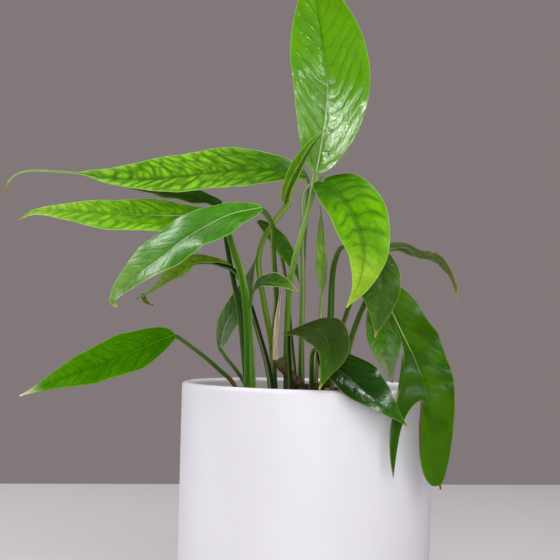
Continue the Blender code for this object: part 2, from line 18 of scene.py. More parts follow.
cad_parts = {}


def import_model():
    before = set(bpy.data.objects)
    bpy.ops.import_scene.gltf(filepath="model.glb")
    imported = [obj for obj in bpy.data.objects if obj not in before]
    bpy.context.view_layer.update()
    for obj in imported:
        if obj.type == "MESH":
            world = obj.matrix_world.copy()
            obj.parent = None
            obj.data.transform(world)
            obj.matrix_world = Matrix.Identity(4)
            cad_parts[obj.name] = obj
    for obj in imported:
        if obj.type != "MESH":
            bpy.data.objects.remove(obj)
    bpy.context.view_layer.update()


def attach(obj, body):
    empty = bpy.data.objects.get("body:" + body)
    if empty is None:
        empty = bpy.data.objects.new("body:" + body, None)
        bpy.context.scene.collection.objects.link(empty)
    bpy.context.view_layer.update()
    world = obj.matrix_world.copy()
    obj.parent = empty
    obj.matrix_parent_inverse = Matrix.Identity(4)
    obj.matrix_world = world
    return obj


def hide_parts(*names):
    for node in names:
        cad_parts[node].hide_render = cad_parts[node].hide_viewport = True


LOG = logging.getLogger("pothos")

MM = 0.001
UV_UNIT = 0.1               # one unit of every UV map is 100 mm
UV_NAME = "UVMap"

# Shape of the blades, as in the solids
TIP_HALF_WIDTH = 0.0005
BASE_HALF_WIDTH = 0.0011
FOLD_SOFTNESS = 0.0015
WAVE_SHIFT = 1.7
LOBE_POWER = 6
RIB_SAMPLES = 241
CURVE_STEPS = 24
FINGER_START = 0.47
FINGER_RAMP = 0.47
FINGER_LENGTH_POWER = 1.5
FINGER_WIDTH_POWER = 2.05

# Fineness and relief of the blades, lengths in mm unless they are relief
ROW_FACTOR = 7              # fine rows for each row of the solid
COLUMN_STEP = 1.0           # width of a fine column
FEWEST_COLUMNS = 7          # on each side of the midrib
BLADE_THICKNESS = 0.00052
MARGIN_WIDTH = 3.0
MARGIN_THINNING = 0.45      # share of the thickness lost at the margin
STALK_END_SHARE = 0.02      # the short end at the stalk, as a share of the length,
STALK_END_WIDTH = 1.6       # and as a half width, is no margin
RIB_GROOVE_DEPTH = 0.00030
RIB_GROOVE_WIDTH = 1.0
GROOVE_END = 1.1            # over 1, so that a little of the groove is left at the tip
SIDE_VEIN_SHIFT = 0.37      # how far the veins of the right half are out of step
SHIFT_RISE = 5.0            # how far from the midrib that shift is full
SWELL_POWER = 0.7           # under 1 makes narrow valleys between broad swellings
SWELL_LEVEL = 0.6           # where the unmoved sheet lies between valley and top
SWELL_START = 0.5           # the swelling grows from so far from the midrib
SWELL_RISE = 3.0            # over so far
SWELL_FALL = 5.0            # how far from the margin it starts to fall
UNEVEN_MEAN = 0.75
UNEVEN_SHARE = 0.45         # how much the swelling differs from place to place
UNEVEN_LENGTHS = (13, 7)    # along and across
FRILL_DEPTH = 0.00012       # small waves of the margin
FRILL_LENGTH = 13.0
FRILL_REACH = 6.0           # how far in from the margin they go
FRILL_START = 2.0           # they grow from so far from the midrib
FRILL_RISE = 5.0            # over so far
FRILL_SHIFT = 1.1           # how far the right margin's are out of step
DRY_START = 0.01            # the dried edge of a cut, as shares of the blade's length
DRY_LENGTH = 0.22
DRY_FADE = 0.1
DRY_WIDTH = 1.3
DRY_BLUR = 0.6

# Waves in which the side veins stray: a share of their spacing, and the lengths along and across
NEAR_WAVES = ((0.22, 17, math.inf), (0.12, 6.1, math.inf))
OUTER_WAVES = ((0.24, 19, 9), (0.10, 9, -5), (0.05, 8, 2.3))
OUTER_START = 7

# Stalks and midribs
STALK_RINGS = 11
STALK_TAPER = 0.8
STALK_STEPS = 84
STALK_SIDES = 20
CHANNEL_DEPTH = 0.34        # as a share of the stalk's radius
RIB_SHARE = 0.62
RIB_END_RADIUS = 0.0003
RIB_DEPTH = 0.0002
KNEE_SWELL = 0.14           # the thickening where a stalk meets its blade
KNEE_PLACE = 0.99
KNEE_WIDTH = 0.03
FOOT_SWELL = 0.12
FOOT_WIDTH = 0.12
STEM_END = (0.86, 0.55)     # how the last two rings of a stem draw in


def linear(code: str) -> tuple[float, float, float, float]:
    """Turns an sRGB hex colour into linear light.

    Args:
        code: The colour, such as "#5f9a24".

    Returns:
        Red, green and blue from 0 to 1, and an alpha of 1.
    """
    values = [int(code[i:i + 2], 16) / 255 for i in (1, 3, 5)]
    light = [v / 12.92 if v <= 0.04045 else ((v + 0.055) / 1.055) ** 2.4 for v in values]
    return light[0], light[1], light[2], 1.0


def add(tree: bpy.types.NodeTree, kind: str, inputs: Optional[dict[Any, Any]] = None,
        out: Any = 0, **settings: Any) -> Any:
    """Adds one node with its settings, values and links.

    Args:
        tree: The tree that takes the node.
        kind: The node's type name.
        inputs: Values or output sockets for its inputs, by name or number.
        out: Which of its outputs is wanted, by name or number.
        settings: The node's own properties.

    Returns:
        The wanted output socket, or nothing for a node without outputs.
    """
    node = tree.nodes.new(kind)
    for name, value in settings.items():
        setattr(node, name, value)
    for name, value in (inputs or {}).items():
        if isinstance(value, bpy.types.NodeSocket):
            tree.links.new(value, node.inputs[name])
        else:
            node.inputs[name].default_value = value
    return node.outputs[out] if node.outputs else None


def new_material(name: str) -> bpy.types.Material:
    """Makes a material with an empty node tree.

    Args:
        name: Its name.

    Returns:
        The material.
    """
    material = bpy.data.materials.new(name)
    material.use_nodes = True
    material.node_tree.nodes.clear()
    return material


class Role(Enum):
    """What a lamp is for."""

    SOFT = "soft"       # lights surfaces but isn't mirrored in them
    BOTH = "both"
    SHEEN = "sheen"     # only shows as a reflection


class Face(Enum):
    """The two faces of a blade."""

    UPPER = "upper"
    UNDER = "under"


class Rise(Enum):
    """How a layer comes in between the two values of its mask."""

    SMOOTH = "SMOOTHSTEP"
    EVEN = "LINEAR"


@dataclass(frozen=True)
class Layer:
    """A colour laid over what is below it, where and as much as its mask says."""

    colour: Any             # an sRGB hex value or a colour socket
    mask: Any
    none: Any = 0.0         # the mask's value where nothing of it shows
    full: Any = 1.0         # the mask's value where the most of it shows
    show: Any = 1.0         # how much that is
    rise: Rise = Rise.SMOOTH


def laid(tree: bpy.types.NodeTree, base: Any, *layers: Layer) -> Any:
    """Lays colours over a base, one after the other.

    Args:
        tree: The material's tree.
        base: The lowest colour, as an sRGB hex value or a colour socket.
        layers: What lies over it, from the lowest up.

    Returns:
        The colour socket.
    """
    colour = linear(base) if isinstance(base, str) else base
    for layer in layers:
        share = add(tree, "ShaderNodeMapRange",
                    {"Value": layer.mask, "From Min": layer.none, "From Max": layer.full,
                     "To Max": layer.show}, interpolation_type=layer.rise.value)
        over = linear(layer.colour) if isinstance(layer.colour, str) else layer.colour
        colour = add(tree, "ShaderNodeMix", {0: share, 6: colour, 7: over}, 2, data_type="RGBA")
    return colour


def finished(made: bpy.types.Material, skin: dict[str, Any], height: Any, depth_mm: float,
             strength: float = 1.0, sunken: bool = False, behind: Any = None,
             glow: float = 0.0) -> bpy.types.Material:
    """Ends a material with its relief and its shaders.

    Args:
        made: The material.
        skin: Inputs of the surface shader, by name.
        height: The socket that the relief follows.
        depth_mm: How deep the relief is.
        strength: How strongly it is worked in.
        sunken: Whether what is high lies low, as on the back of a sheet.
        behind: The colour that light takes on its way through, if any passes.
        glow: The share of that light.

    Returns:
        The material.
    """
    tree = made.node_tree
    bump = add(tree, "ShaderNodeBump", {"Strength": strength, "Distance": depth_mm * MM,
                                        "Height": height}, invert=sunken)
    surface = add(tree, "ShaderNodeBsdfPrincipled", {**skin, "Normal": bump})
    if behind is not None:
        through = add(tree, "ShaderNodeBsdfTranslucent", {"Color": behind})
        surface = add(tree, "ShaderNodeMixShader", {0: glow, 1: surface, 2: through})
    add(tree, "ShaderNodeOutputMaterial", {"Surface": surface})
    return made


@dataclass(frozen=True)
class BladeFinish:
    """Living leaf tissue: a waxy upper face with sunken veins and a paler, duller underside.

    Colours are sRGB hex values, given for the tissue near the stalk, in the middle and far out.
    On some leaves they also carry painted light: lifted where a leaf is lit, sheened or shone
    through, and darker where it lies in shade.
    """

    near: str
    middle: str
    far: str
    patch: str              # broad cloudy patches
    vein: str
    rib: str                # the midrib near the stalk
    rib_far: str
    under: str = "#7c9a5e"
    margin: str = "#94b04a"
    tip: str = "#8f9a3c"
    patch_show: float = 0.5
    vein_show: float = 0.35
    halo_show: float = 0.20     # soft dark zones along the side veins
    net_show: float = 0.35      # the net between them
    rib_shadow: float = 0.25    # soft dark zone along the midrib
    margin_show: float = 0.6
    rib_mm: float = 0.55        # half width of the midrib beside the stalk
    fleck: str = "#9aa83c"
    fleck_show: float = 0.0     # small yellowish flecks
    tip_from: float = 0.955     # where the tip's own colour starts
    dry: str = "#6b5230"        # a dried edge, where the blade has one
    vein_end: float = 0.75      # how much of the veins is left at the tip
    emboss: float = 0.8         # strength of the fine relief
    roughness: float = 0.30
    under_roughness: float = 0.52
    shine: float = 0.2          # strength of the skin's own reflections
    wax: float = 0.05           # weight of the clear waxy coat
    glow: float = 0.2           # share of the light that passes through

    def material(self, name: str, face: Face) -> bpy.types.Material:
        """Builds the leaf tissue for one face.

        Args:
            name: The leaf's name.
            face: The face that it covers.

        Returns:
            The material.
        """
        upper = face is Face.UPPER
        made = new_material(f"{'waxy' if upper else 'matt'}_leaf_tissue_{name}")
        tree = made.node_tree
        uv = add(tree, "ShaderNodeUVMap", uv_map=UV_NAME)
        along, rib_mm, edge_mm, dried = (
            add(tree, "ShaderNodeAttribute", out="Fac", attribute_name=key)
            for key in ("along", "rib_mm", "edge_mm", "dried"))
        grain, cloud = (
            add(tree, "ShaderNodeTexNoise", {"Vector": uv, "Scale": UV_UNIT / (size * MM),
                                             "Detail": detail}, noise_dimensions="2D")
            for size, detail in ((1.3, 2.0), (17, 3.0)))
        masks = self._veins(tree, uv, edge_mm)

        near, middle, far = (self.near, self.middle, self.far) if upper else [self.under] * 3
        colour = laid(tree, near,
                      Layer(middle, along, 0.05, 0.4),
                      Layer(far, along, 0.5, 0.95),
                      Layer(self.patch, cloud, 0.42, 0.66, self.patch_show * (1 if upper else 0.5)),
                      Layer(self.vein, grain, 0.35, 0.75, 0.14),
                      Layer(self.fleck, grain, 0.34, 0.26, self.fleck_show))
        colour = self._draw_veins(tree, upper, colour, masks, along, rib_mm)
        # The clear pale margin is half a millimetre wide.
        colour = laid(tree, colour,
                      Layer(self.margin, edge_mm, 0.6, 0.15, self.margin_show),
                      Layer(self.tip, along, self.tip_from, 0.995, 0.9),
                      Layer(self.dry, dried, rise=Rise.EVEN))

        # Veins lie 0.1 mm deep and the skin between them is finely pebbled.
        fine = add(tree, "ShaderNodeMath", {0: grain, 1: 0.20}, operation="MULTIPLY")
        for part, height in zip((cloud, *masks[1:]), (0.5, -0.45, -0.12, -0.45)):
            fine = add(tree, "ShaderNodeMath", {0: part, 1: height, 2: fine},
                       operation="MULTIPLY_ADD")
        dull = self.roughness if upper else self.under_roughness
        rough = add(tree, "ShaderNodeMath", {0: grain, 1: 0.16, 2: dull - 0.08},
                    operation="MULTIPLY_ADD")
        wax = {"Coat Weight": self.wax, "Coat Roughness": 0.2} if upper else {}
        skin = {"Base Color": colour, "Roughness": rough, "IOR": 1.43,
                "Specular IOR Level": self.shine, **wax}
        lit = add(tree, "ShaderNodeHueSaturation", {"Hue": 0.488, "Saturation": 1.05,
                                                    "Value": 1.8, "Color": colour})
        return finished(made, skin, fine, depth_mm=0.22, strength=self.emboss, sunken=not upper,
                        behind=lit, glow=self.glow)

    def _veins(self, tree: bpy.types.NodeTree, uv: Any, edge_mm: Any) -> tuple[Any, ...]:
        """Side veins that run out from the midrib, and the net between them.

        Args:
            tree: The material's tree.
            uv: The blade's flat coordinates.
            edge_mm: The distance to the margin.

        Returns:
            Sockets from 0 to 1: soft zones, coarse net, fine net and sharp side veins.
        """
        # The veins quiver by a tenth of their spacing over a few millimetres.
        phase = add(tree, "ShaderNodeAttribute", out="Fac", attribute_name="lateral")
        quiver = add(tree, "ShaderNodeTexNoise", {"Vector": uv, "Scale": UV_UNIT / (5 * MM),
                                                  "Detail": 1.0}, noise_dimensions="2D")
        drift = add(tree, "ShaderNodeMath", {0: quiver, 1: 0.2, 2: phase}, operation="MULTIPLY_ADD")
        shown = []
        for shift, width in ((0.40, 0.09), (0.90, 0.05), (0.40, 0.34)):
            away = drift
            for step, value in (("ADD", shift), ("FRACT", 0.0), ("SUBTRACT", 0.5), ("ABSOLUTE", 0.0)):
                away = add(tree, "ShaderNodeMath", {0: away, 1: value}, operation=step)
            shown.append(add(tree, "ShaderNodeMapRange",
                             {"Value": away, "From Min": width, "From Max": 0.15 * width},
                             interpolation_type="SMOOTHSTEP"))
        both = add(tree, "ShaderNodeMath", {0: shown[1], 1: 0.4, 2: shown[0]},
                   operation="MULTIPLY_ADD")
        reach = add(tree, "ShaderNodeMapRange", {"Value": edge_mm, "From Min": 0.4, "From Max": 5.0},
                    interpolation_type="SMOOTHSTEP")
        sharp, soft = (add(tree, "ShaderNodeMath", {0: mask, 1: reach}, operation="MULTIPLY")
                       for mask in (both, shown[2]))

        # The coarse net's cells lie along the side veins, as wide as the veins are apart.
        bent = add(tree, "ShaderNodeTexNoise", {"Vector": uv, "Scale": UV_UNIT / (4 * MM),
                                                "Detail": 1.0}, "Color", noise_dimensions="2D")
        spot = add(tree, "ShaderNodeSeparateXYZ", {0: uv}, "X")
        spot = add(tree, "ShaderNodeMath", {0: spot, 1: UV_UNIT / (8 * MM)}, operation="MULTIPLY")
        spot = add(tree, "ShaderNodeCombineXYZ", {"X": drift, "Y": spot})
        webs = []
        for place, bend, scale, width in ((spot, 0.35, 1.15, 0.34),
                                          (uv, 0.01, UV_UNIT / (1.7 * MM), 0.18)):
            place = add(tree, "ShaderNodeVectorMath", {0: bent, 1: (bend, bend, 0.0), 2: place},
                        operation="MULTIPLY_ADD")
            web = add(tree, "ShaderNodeTexVoronoi", {"Vector": place, "Scale": scale}, "Distance",
                      voronoi_dimensions="2D", feature="DISTANCE_TO_EDGE")
            webs.append(add(tree, "ShaderNodeMapRange", {"Value": web, "From Min": width,
                                                         "From Max": 0.01},
                            interpolation_type="SMOOTHSTEP"))
        return soft, *webs, sharp

    def _draw_veins(self, tree: bpy.types.NodeTree, upper: bool, colour: Any,
                    masks: tuple[Any, ...], along: Any, rib_mm: Any) -> Any:
        """Lays the net, the side veins and the midrib over the tissue.

        Args:
            tree: The material's tree.
            upper: Whether this is the upper face.
            colour: The tissue's colour.
            masks: Where the soft zones, the two nets and the side veins run.
            along: The share of the way from the stalk to the tip.
            rib_mm: The distance to the midrib.

        Returns:
            The colour socket.
        """
        shadow = add(tree, "ShaderNodeMapRange", {"Value": rib_mm, "From Min": 2.8,
                                                  "From Max": 0.2}, interpolation_type="SMOOTHSTEP")
        fade = add(tree, "ShaderNodeMapRange", {"Value": along, "From Min": 0.45, "From Max": 0.85,
                                                "To Min": 1.0, "To Max": self.vein_end},
                   interpolation_type="SMOOTHSTEP")
        weights = (self.halo_show, self.net_show, 0.4 * self.net_show, self.vein_show,
                   self.rib_shadow)
        for mask, weight in zip((*masks, shadow), weights):
            show = add(tree, "ShaderNodeMath", {0: fade, 1: weight * (1 if upper else 0.6)},
                       operation="MULTIPLY")
            colour = laid(tree, colour, Layer(self.vein, mask, show=show, rise=Rise.EVEN))

        # The midrib narrows to a third on its way to the tip.
        half = add(tree, "ShaderNodeMath", {0: along, 1: -0.65 * self.rib_mm, 2: self.rib_mm},
                   operation="MULTIPLY_ADD")
        inner = add(tree, "ShaderNodeMath", {0: half, 1: 0.45}, operation="MULTIPLY")
        fade = add(tree, "ShaderNodeMapRange", {"Value": along, "From Min": 0.98, "From Max": 0.8})
        rib = laid(tree, self.rib, Layer(self.rib_far, along, 0.15, 0.6))
        return laid(tree, colour, Layer(rib, rib_mm, half, inner, fade))


@dataclass(frozen=True)
class StalkFinish:
    """Smooth green stalk skin with fine lengthwise streaks, pale sheath edges that are partly a painted
    highlight, and painted shade in its channel.
    """

    foot: str = "#456319"
    middle: str = "#5d8026"
    top: str = "#7ba63a"
    ridge: str = "#a3c063"
    streak: str = "#34520f"
    # The channel's darkening is painted shade.
    channel_shade: float = 0.6   # how dark the channel is
    dry: str = "#8a5a2c"
    dry_from: float = 2.0       # a rusty dry patch between these shares of the length
    dry_to: float = 2.1
    roughness: float = 0.34

    def material(self, name: str) -> bpy.types.Material:
        """Builds the stalk skin.

        Args:
            name: The leaf's name.

        Returns:
            The material.
        """
        made = new_material(f"smooth_stalk_skin_{name}")
        tree = made.node_tree
        along, ridge, channel = (add(tree, "ShaderNodeAttribute", out="Fac", attribute_name=key)
                                 for key in ("along", "ridge", "channel"))
        skin = add(tree, "ShaderNodeAttribute", out="Vector", attribute_name="skin_mm")
        # Streaks are half a millimetre wide and about 30 mm long.
        drawn = add(tree, "ShaderNodeMapping", {"Vector": skin, "Scale": (1.6, 1.6, 0.035)})
        streaks, mottle = (
            add(tree, "ShaderNodeTexNoise", {"Vector": place, "Scale": scale, "Detail": 3.0})
            for place, scale in ((drawn, 1.0), (skin, 1 / 2.2)))
        dry = add(tree, "ShaderNodeMapRange", {"Value": mottle, "From Min": 0.38, "From Max": 0.55,
                                               "To Min": 0.15}, interpolation_type="SMOOTHSTEP")
        for none, full in ((self.dry_from, self.dry_from + 0.02), (self.dry_to, self.dry_to - 0.02)):
            dry = add(tree, "ShaderNodeMapRange", {"Value": along, "From Min": none,
                                                   "From Max": full, "To Max": dry})
        colour = laid(tree, self.foot,
                      Layer(self.middle, along, 0.0, 0.4),
                      Layer(self.top, along, 0.35, 0.8),
                      Layer(self.streak, streaks, 0.42, 0.66, 0.65),
                      # Painted shade darkens the channel, and the pale ridges beside it are partly a
                      # painted highlight.
                      Layer(self.streak, channel, show=self.channel_shade, rise=Rise.EVEN),
                      Layer(self.ridge, ridge, show=0.85, rise=Rise.EVEN),
                      Layer(self.dry, dry, rise=Rise.EVEN))
        skin = {"Base Color": colour, "Roughness": self.roughness, "IOR": 1.43,
                "Specular IOR Level": 0.15}
        return finished(made, skin, streaks, depth_mm=0.12, strength=0.7)


@dataclass(frozen=True)
class PaperFinish:
    """Dry leaf sheath: thin as paper, cream, with lengthwise fibres and a rust-brown line."""

    paper: str = "#f0e8cc"
    fibre: str = "#cdbb90"
    rust: str = "#8c4a2c"

    def material(self, name: str, face: Face) -> bpy.types.Material:
        """Builds the dry sheath.

        Args:
            name: The piece's name.
            face: The face that it covers.

        Returns:
            The material.
        """
        made = new_material(f"dry_sheath_{face.value}_{name}")
        tree = made.node_tree
        uv = add(tree, "ShaderNodeUVMap", uv_map=UV_NAME)
        rib_mm = add(tree, "ShaderNodeAttribute", out="Fac", attribute_name="rib_mm")
        # Fibres are a quarter of a millimetre apart and run the whole length.
        drawn = add(tree, "ShaderNodeMapping", {"Vector": uv, "Scale": (12.0, 1.0, 1.0)})
        fibres = add(tree, "ShaderNodeTexNoise", {"Vector": drawn, "Scale": UV_UNIT / (7 * MM),
                                                  "Detail": 4.0}, noise_dimensions="2D")
        colour = laid(tree, self.paper,
                      Layer(self.fibre, fibres, 0.4, 0.7),
                      Layer(self.rust, rib_mm, 0.35, 0.1, 0.8))
        return finished(made, {"Base Color": colour, "Roughness": 0.62}, fibres, depth_mm=0.15,
                        strength=0.8, behind=colour, glow=0.15)


@dataclass(frozen=True)
class BarkFinish:
    """Corky skin of an old stem: brown, rough and ringed, and olive where it is younger."""

    cork: str = "#6b4a26"
    dark: str = "#140d06"
    young: str = "#56561c"

    def material(self, name: str) -> bpy.types.Material:
        """Builds the corky skin.

        Args:
            name: The piece's name.

        Returns:
            The material.
        """
        made = new_material(f"corky_stem_skin_{name}")
        tree = made.node_tree
        skin = add(tree, "ShaderNodeAttribute", out="Vector", attribute_name="skin_mm")
        along = add(tree, "ShaderNodeAttribute", out="Fac", attribute_name="along")
        rough = add(tree, "ShaderNodeTexNoise", {"Vector": skin, "Scale": 1 / 1.6, "Detail": 5.0})
        # Leaf scars ring the stem every few millimetres.
        rings = add(tree, "ShaderNodeTexWave", {"Vector": skin, "Scale": 1 / 11, "Distortion": 3.0,
                                                "Detail": 3.0}, "Fac", wave_type="BANDS",
                    bands_direction="Z")
        colour = laid(tree, self.dark,
                      Layer(self.cork, rough, 0.35, 0.65),
                      Layer(self.young, along, 0.6, 0.9, 0.65))
        relief = add(tree, "ShaderNodeMath", {0: rings, 1: 0.5, 2: rough}, operation="MULTIPLY_ADD")
        return finished(made, {"Base Color": colour, "Roughness": 0.72}, relief, depth_mm=0.5)


@dataclass(frozen=True)
class GlazeFinish:
    """Satin white glaze on slip-cast earthenware: smooth and softly shining, barely uneven."""

    white: str = "#eeedf5"
    shade: str = "#ebeaf2"
    roughness: float = 0.5

    def material(self) -> bpy.types.Material:
        """Builds the glaze.

        Returns:
            The material.
        """
        # The glaze pools over 45 mm and has a peel of 4 mm.
        made = new_material("satin_white_glaze")
        tree = made.node_tree
        place = add(tree, "ShaderNodeTexCoord", out="Object")
        pool, peel = (
            add(tree, "ShaderNodeTexNoise", {"Vector": place, "Scale": 1 / (size * MM),
                                             "Detail": detail})
            for size, detail in ((45, 2.0), (4, 1.0)))
        relief, rough = (
            add(tree, "ShaderNodeMath", {0: peel, 1: share, 2: rest}, operation="MULTIPLY_ADD")
            for share, rest in ((0.1, pool), (0.05, self.roughness)))
        skin = {"Base Color": laid(tree, self.white, Layer(self.shade, pool, 0.35, 0.7)),
                "Roughness": rough, "Coat Weight": 0.1, "Coat Roughness": 0.45}
        return finished(made, skin, relief, depth_mm=0.12, strength=0.4)


@dataclass(frozen=True)
class SoilFinish:
    """Moist potting mix: near-black peat with tan and orange-brown bits of bark."""

    peat: str = "#1f150d"
    humus: str = "#38271a"
    bark: str = "#7d4c26"
    straw: str = "#a9814e"

    def material(self, name: str) -> bpy.types.Material:
        """Builds the potting mix, whose crumbs each carry their own tint.

        Args:
            name: What the mix is used for.

        Returns:
            The material.
        """
        made = new_material(f"potting_mix_{name}")
        tree = made.node_tree
        place = add(tree, "ShaderNodeTexCoord", out="Object")
        tint = add(tree, "ShaderNodeAttribute", out="Fac", attribute_name="tint")
        fine = add(tree, "ShaderNodeTexNoise", {"Vector": place, "Scale": 1 / (1.1 * MM),
                                                "Detail": 4.0})
        colour = laid(tree, self.peat,
                      Layer(self.humus, fine, 0.35, 0.65),
                      Layer(self.bark, tint, 0.5, 0.8, 0.95),
                      Layer(self.straw, tint, 0.93, 0.97, 0.9, Rise.EVEN))
        return finished(made, {"Base Color": colour, "Roughness": 0.88}, fine, depth_mm=0.6)


def unit(vectors: np.ndarray) -> np.ndarray:
    """Vectors at length 1."""
    return vectors / np.maximum(np.linalg.norm(vectors, axis=-1, keepdims=True), 1e-12)


def smooth_step(value: np.ndarray) -> np.ndarray:
    """Rises smoothly from 0 to 1 as the value does."""
    held = np.clip(value, 0.0, 1.0)
    return held * held * (3 - 2 * held)


def even_points(points: np.ndarray, count: int) -> np.ndarray:
    """Points evenly spaced along a smooth curve through the given ones.

    Args:
        points: The points that the curve passes through.
        count: How many points are wanted.

    Returns:
        The points, one a row.
    """
    ends = np.vstack([2 * points[0] - points[1], points, 2 * points[-1] - points[-2]])
    fine = []
    for a, b, c, d in zip(ends, ends[1:], ends[2:], ends[3:]):
        for u in np.linspace(0, 1, CURVE_STEPS, endpoint=False):
            bend = (2 * a - 5 * b + 4 * c - d) * u**2 + (3 * b - a - 3 * c + d) * u**3
            fine.append(0.5 * (2 * b + (c - a) * u + bend))
    fine = np.array(fine + [ends[-2]])
    length = walked_lengths(fine)
    places = np.linspace(0, length[-1], count)
    return np.column_stack([np.interp(places, length, fine[:, i]) for i in range(3)])


def mesh_object(name: str, points: np.ndarray, faces: Any,
                values: Optional[dict[str, np.ndarray]] = None,
                edges: Any = ()) -> bpy.types.Object:
    """A new object from points and faces, which may carry values at its points.

    Args:
        name: The object's name.
        points: One point a row, in metres.
        faces: Point numbers of each face.
        values: Numbers or vectors for each point, by attribute name.
        edges: Point numbers of each loose edge.

    Returns:
        The object, linked to the scene.
    """
    mesh = bpy.data.meshes.new(name)
    mesh.from_pydata(np.asarray(points, float).tolist(), [tuple(e) for e in edges],
                     np.asarray(faces, int).tolist() if len(faces) else [])
    for key, value in (values or {}).items():
        kind, slot = ("FLOAT", "value") if value.ndim == 1 else ("FLOAT_VECTOR", "vector")
        made = mesh.attributes.new(key, kind, "POINT")
        made.data.foreach_set(slot, np.ascontiguousarray(value, np.float32).ravel())
    obj = bpy.data.objects.new(name, mesh)
    bpy.context.scene.collection.objects.link(obj)
    return obj


def line_object(name: str, points: np.ndarray,
                values: Optional[dict[str, np.ndarray]] = None) -> bpy.types.Object:
    """A new object whose points are joined in a line, one to the next."""
    return mesh_object(name, points, (), values, [(i, i + 1) for i in range(len(points) - 1)])


def walked_lengths(points: np.ndarray) -> np.ndarray:
    """The way along a line of points to each of them."""
    return np.concatenate([[0], np.cumsum(np.linalg.norm(np.diff(points, axis=0), axis=1))])


def new_tree(name: str, sizes: dict[str, str]) -> bpy.types.NodeTree:
    """An empty Geometry Nodes tree with named inputs and one geometry output.

    Args:
        name: The tree's name.
        sizes: Socket types by input name, after the geometry input.

    Returns:
        The tree.
    """
    tree = bpy.data.node_groups.new(name, "GeometryNodeTree")
    tree.interface.new_socket("Geometry", in_out="INPUT", socket_type="NodeSocketGeometry")
    for key, kind in sizes.items():
        tree.interface.new_socket(key, in_out="INPUT", socket_type=kind)
    tree.interface.new_socket("Geometry", in_out="OUTPUT", socket_type="NodeSocketGeometry")
    return tree


def grown(source: bpy.types.Object, tree: bpy.types.NodeTree,
          sizes: dict[str, Any]) -> bpy.types.Object:
    """Runs a tree on an object and keeps the result as its plain mesh.

    Args:
        source: The object that carries the path, profile or surface.
        tree: The Geometry Nodes tree.
        sizes: Values for the tree's inputs, by name.

    Returns:
        The same object, with its new mesh and no modifier.
    """
    modifier = source.modifiers.new("growth", "NODES")
    modifier.node_group = tree
    for item in tree.interface.items_tree:
        if item.in_out == "INPUT" and item.name in sizes:
            modifier[item.identifier] = sizes[item.name]
    graph = bpy.context.evaluated_depsgraph_get()
    mesh = bpy.data.meshes.new_from_object(source.evaluated_get(graph), depsgraph=graph,
                                           preserve_all_data_layers=True)
    source.modifiers.remove(modifier)
    old = source.data
    source.data = mesh
    bpy.data.meshes.remove(old)
    mesh.name = source.name
    return source


def placed(piece: bpy.types.Object, slot: str, node: Optional[str],
           sharp: float = 50.0) -> bpy.types.Object:
    """Smooths a finished piece, hides the solid that it stands for and hangs it from the root body.

    Args:
        piece: The piece.
        slot: The record's material slot for it, which only goes to the log.
        node: The CAD node that it stands for, if any.
        sharp: Edges with a larger angle than this, in degrees, stay sharp.

    Returns:
        The piece.
    """
    piece.data.shade_smooth()
    piece.data.set_sharp_from_angle(angle=math.radians(sharp))
    if node:
        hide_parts(node)
    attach(piece, "root")
    triangles = sum(len(face.vertices) - 2 for face in piece.data.polygons)
    LOG.info("%s: %d triangles, %s", piece.name, triangles, slot)
    return piece


@dataclass(frozen=True)
class Side:
    """One side of a blade, from its midrib to its margin."""

    half: float             # widest half width, in mm
    widest: float = 0.42    # place of the widest point along the midrib
    opening: float = 0.10   # width at the stalk, as a share of the widest
    base: float = 0.60      # under 1 gives a full base, over 1 a wedge
    taper: float = 1.30     # over 1 gives a drawn-out tip

    def width(self, t: np.ndarray) -> np.ndarray:
        """How wide this side of the blade is.

        Args:
            t: Place along the blade.

        Returns:
            Its half width there, as a share of the widest.
        """
        rise = np.sin(math.pi / 2 * np.clip(t / self.widest, 0, 1)) ** self.base
        late = np.clip((t - self.widest) / (1 - self.widest), 0, 1)
        fall = np.maximum(np.cos(math.pi / 2 * late), 0) ** self.taper
        return np.where(t < self.widest, self.opening + (1 - self.opening) * rise, fall)


@dataclass(frozen=True)
class Split:
    """A cut that runs into a blade's right side and leaves a hanging finger above it."""

    at: float        # place of the cut along the midrib, 0 at the stalk and 1 at the tip
    root: float      # how near the midrib it reaches, as a share of the half width
    reach: float     # how far the finger hangs past the cut, in mm
    spread: float    # how far the finger stands out past the margin, in mm
    narrow: float    # half width just past the cut, as a share of the widest


@dataclass(frozen=True)
class Veins:
    """How the side veins run. Lengths are in mm."""

    spacing: float = 7.5    # along the midrib
    lean: float = 0.80      # how far they run forward for each mm outwards, at the midrib
    bend: float = 0.018     # how that grows outwards
    relief: float = 0.30    # how far the tissue swells between them


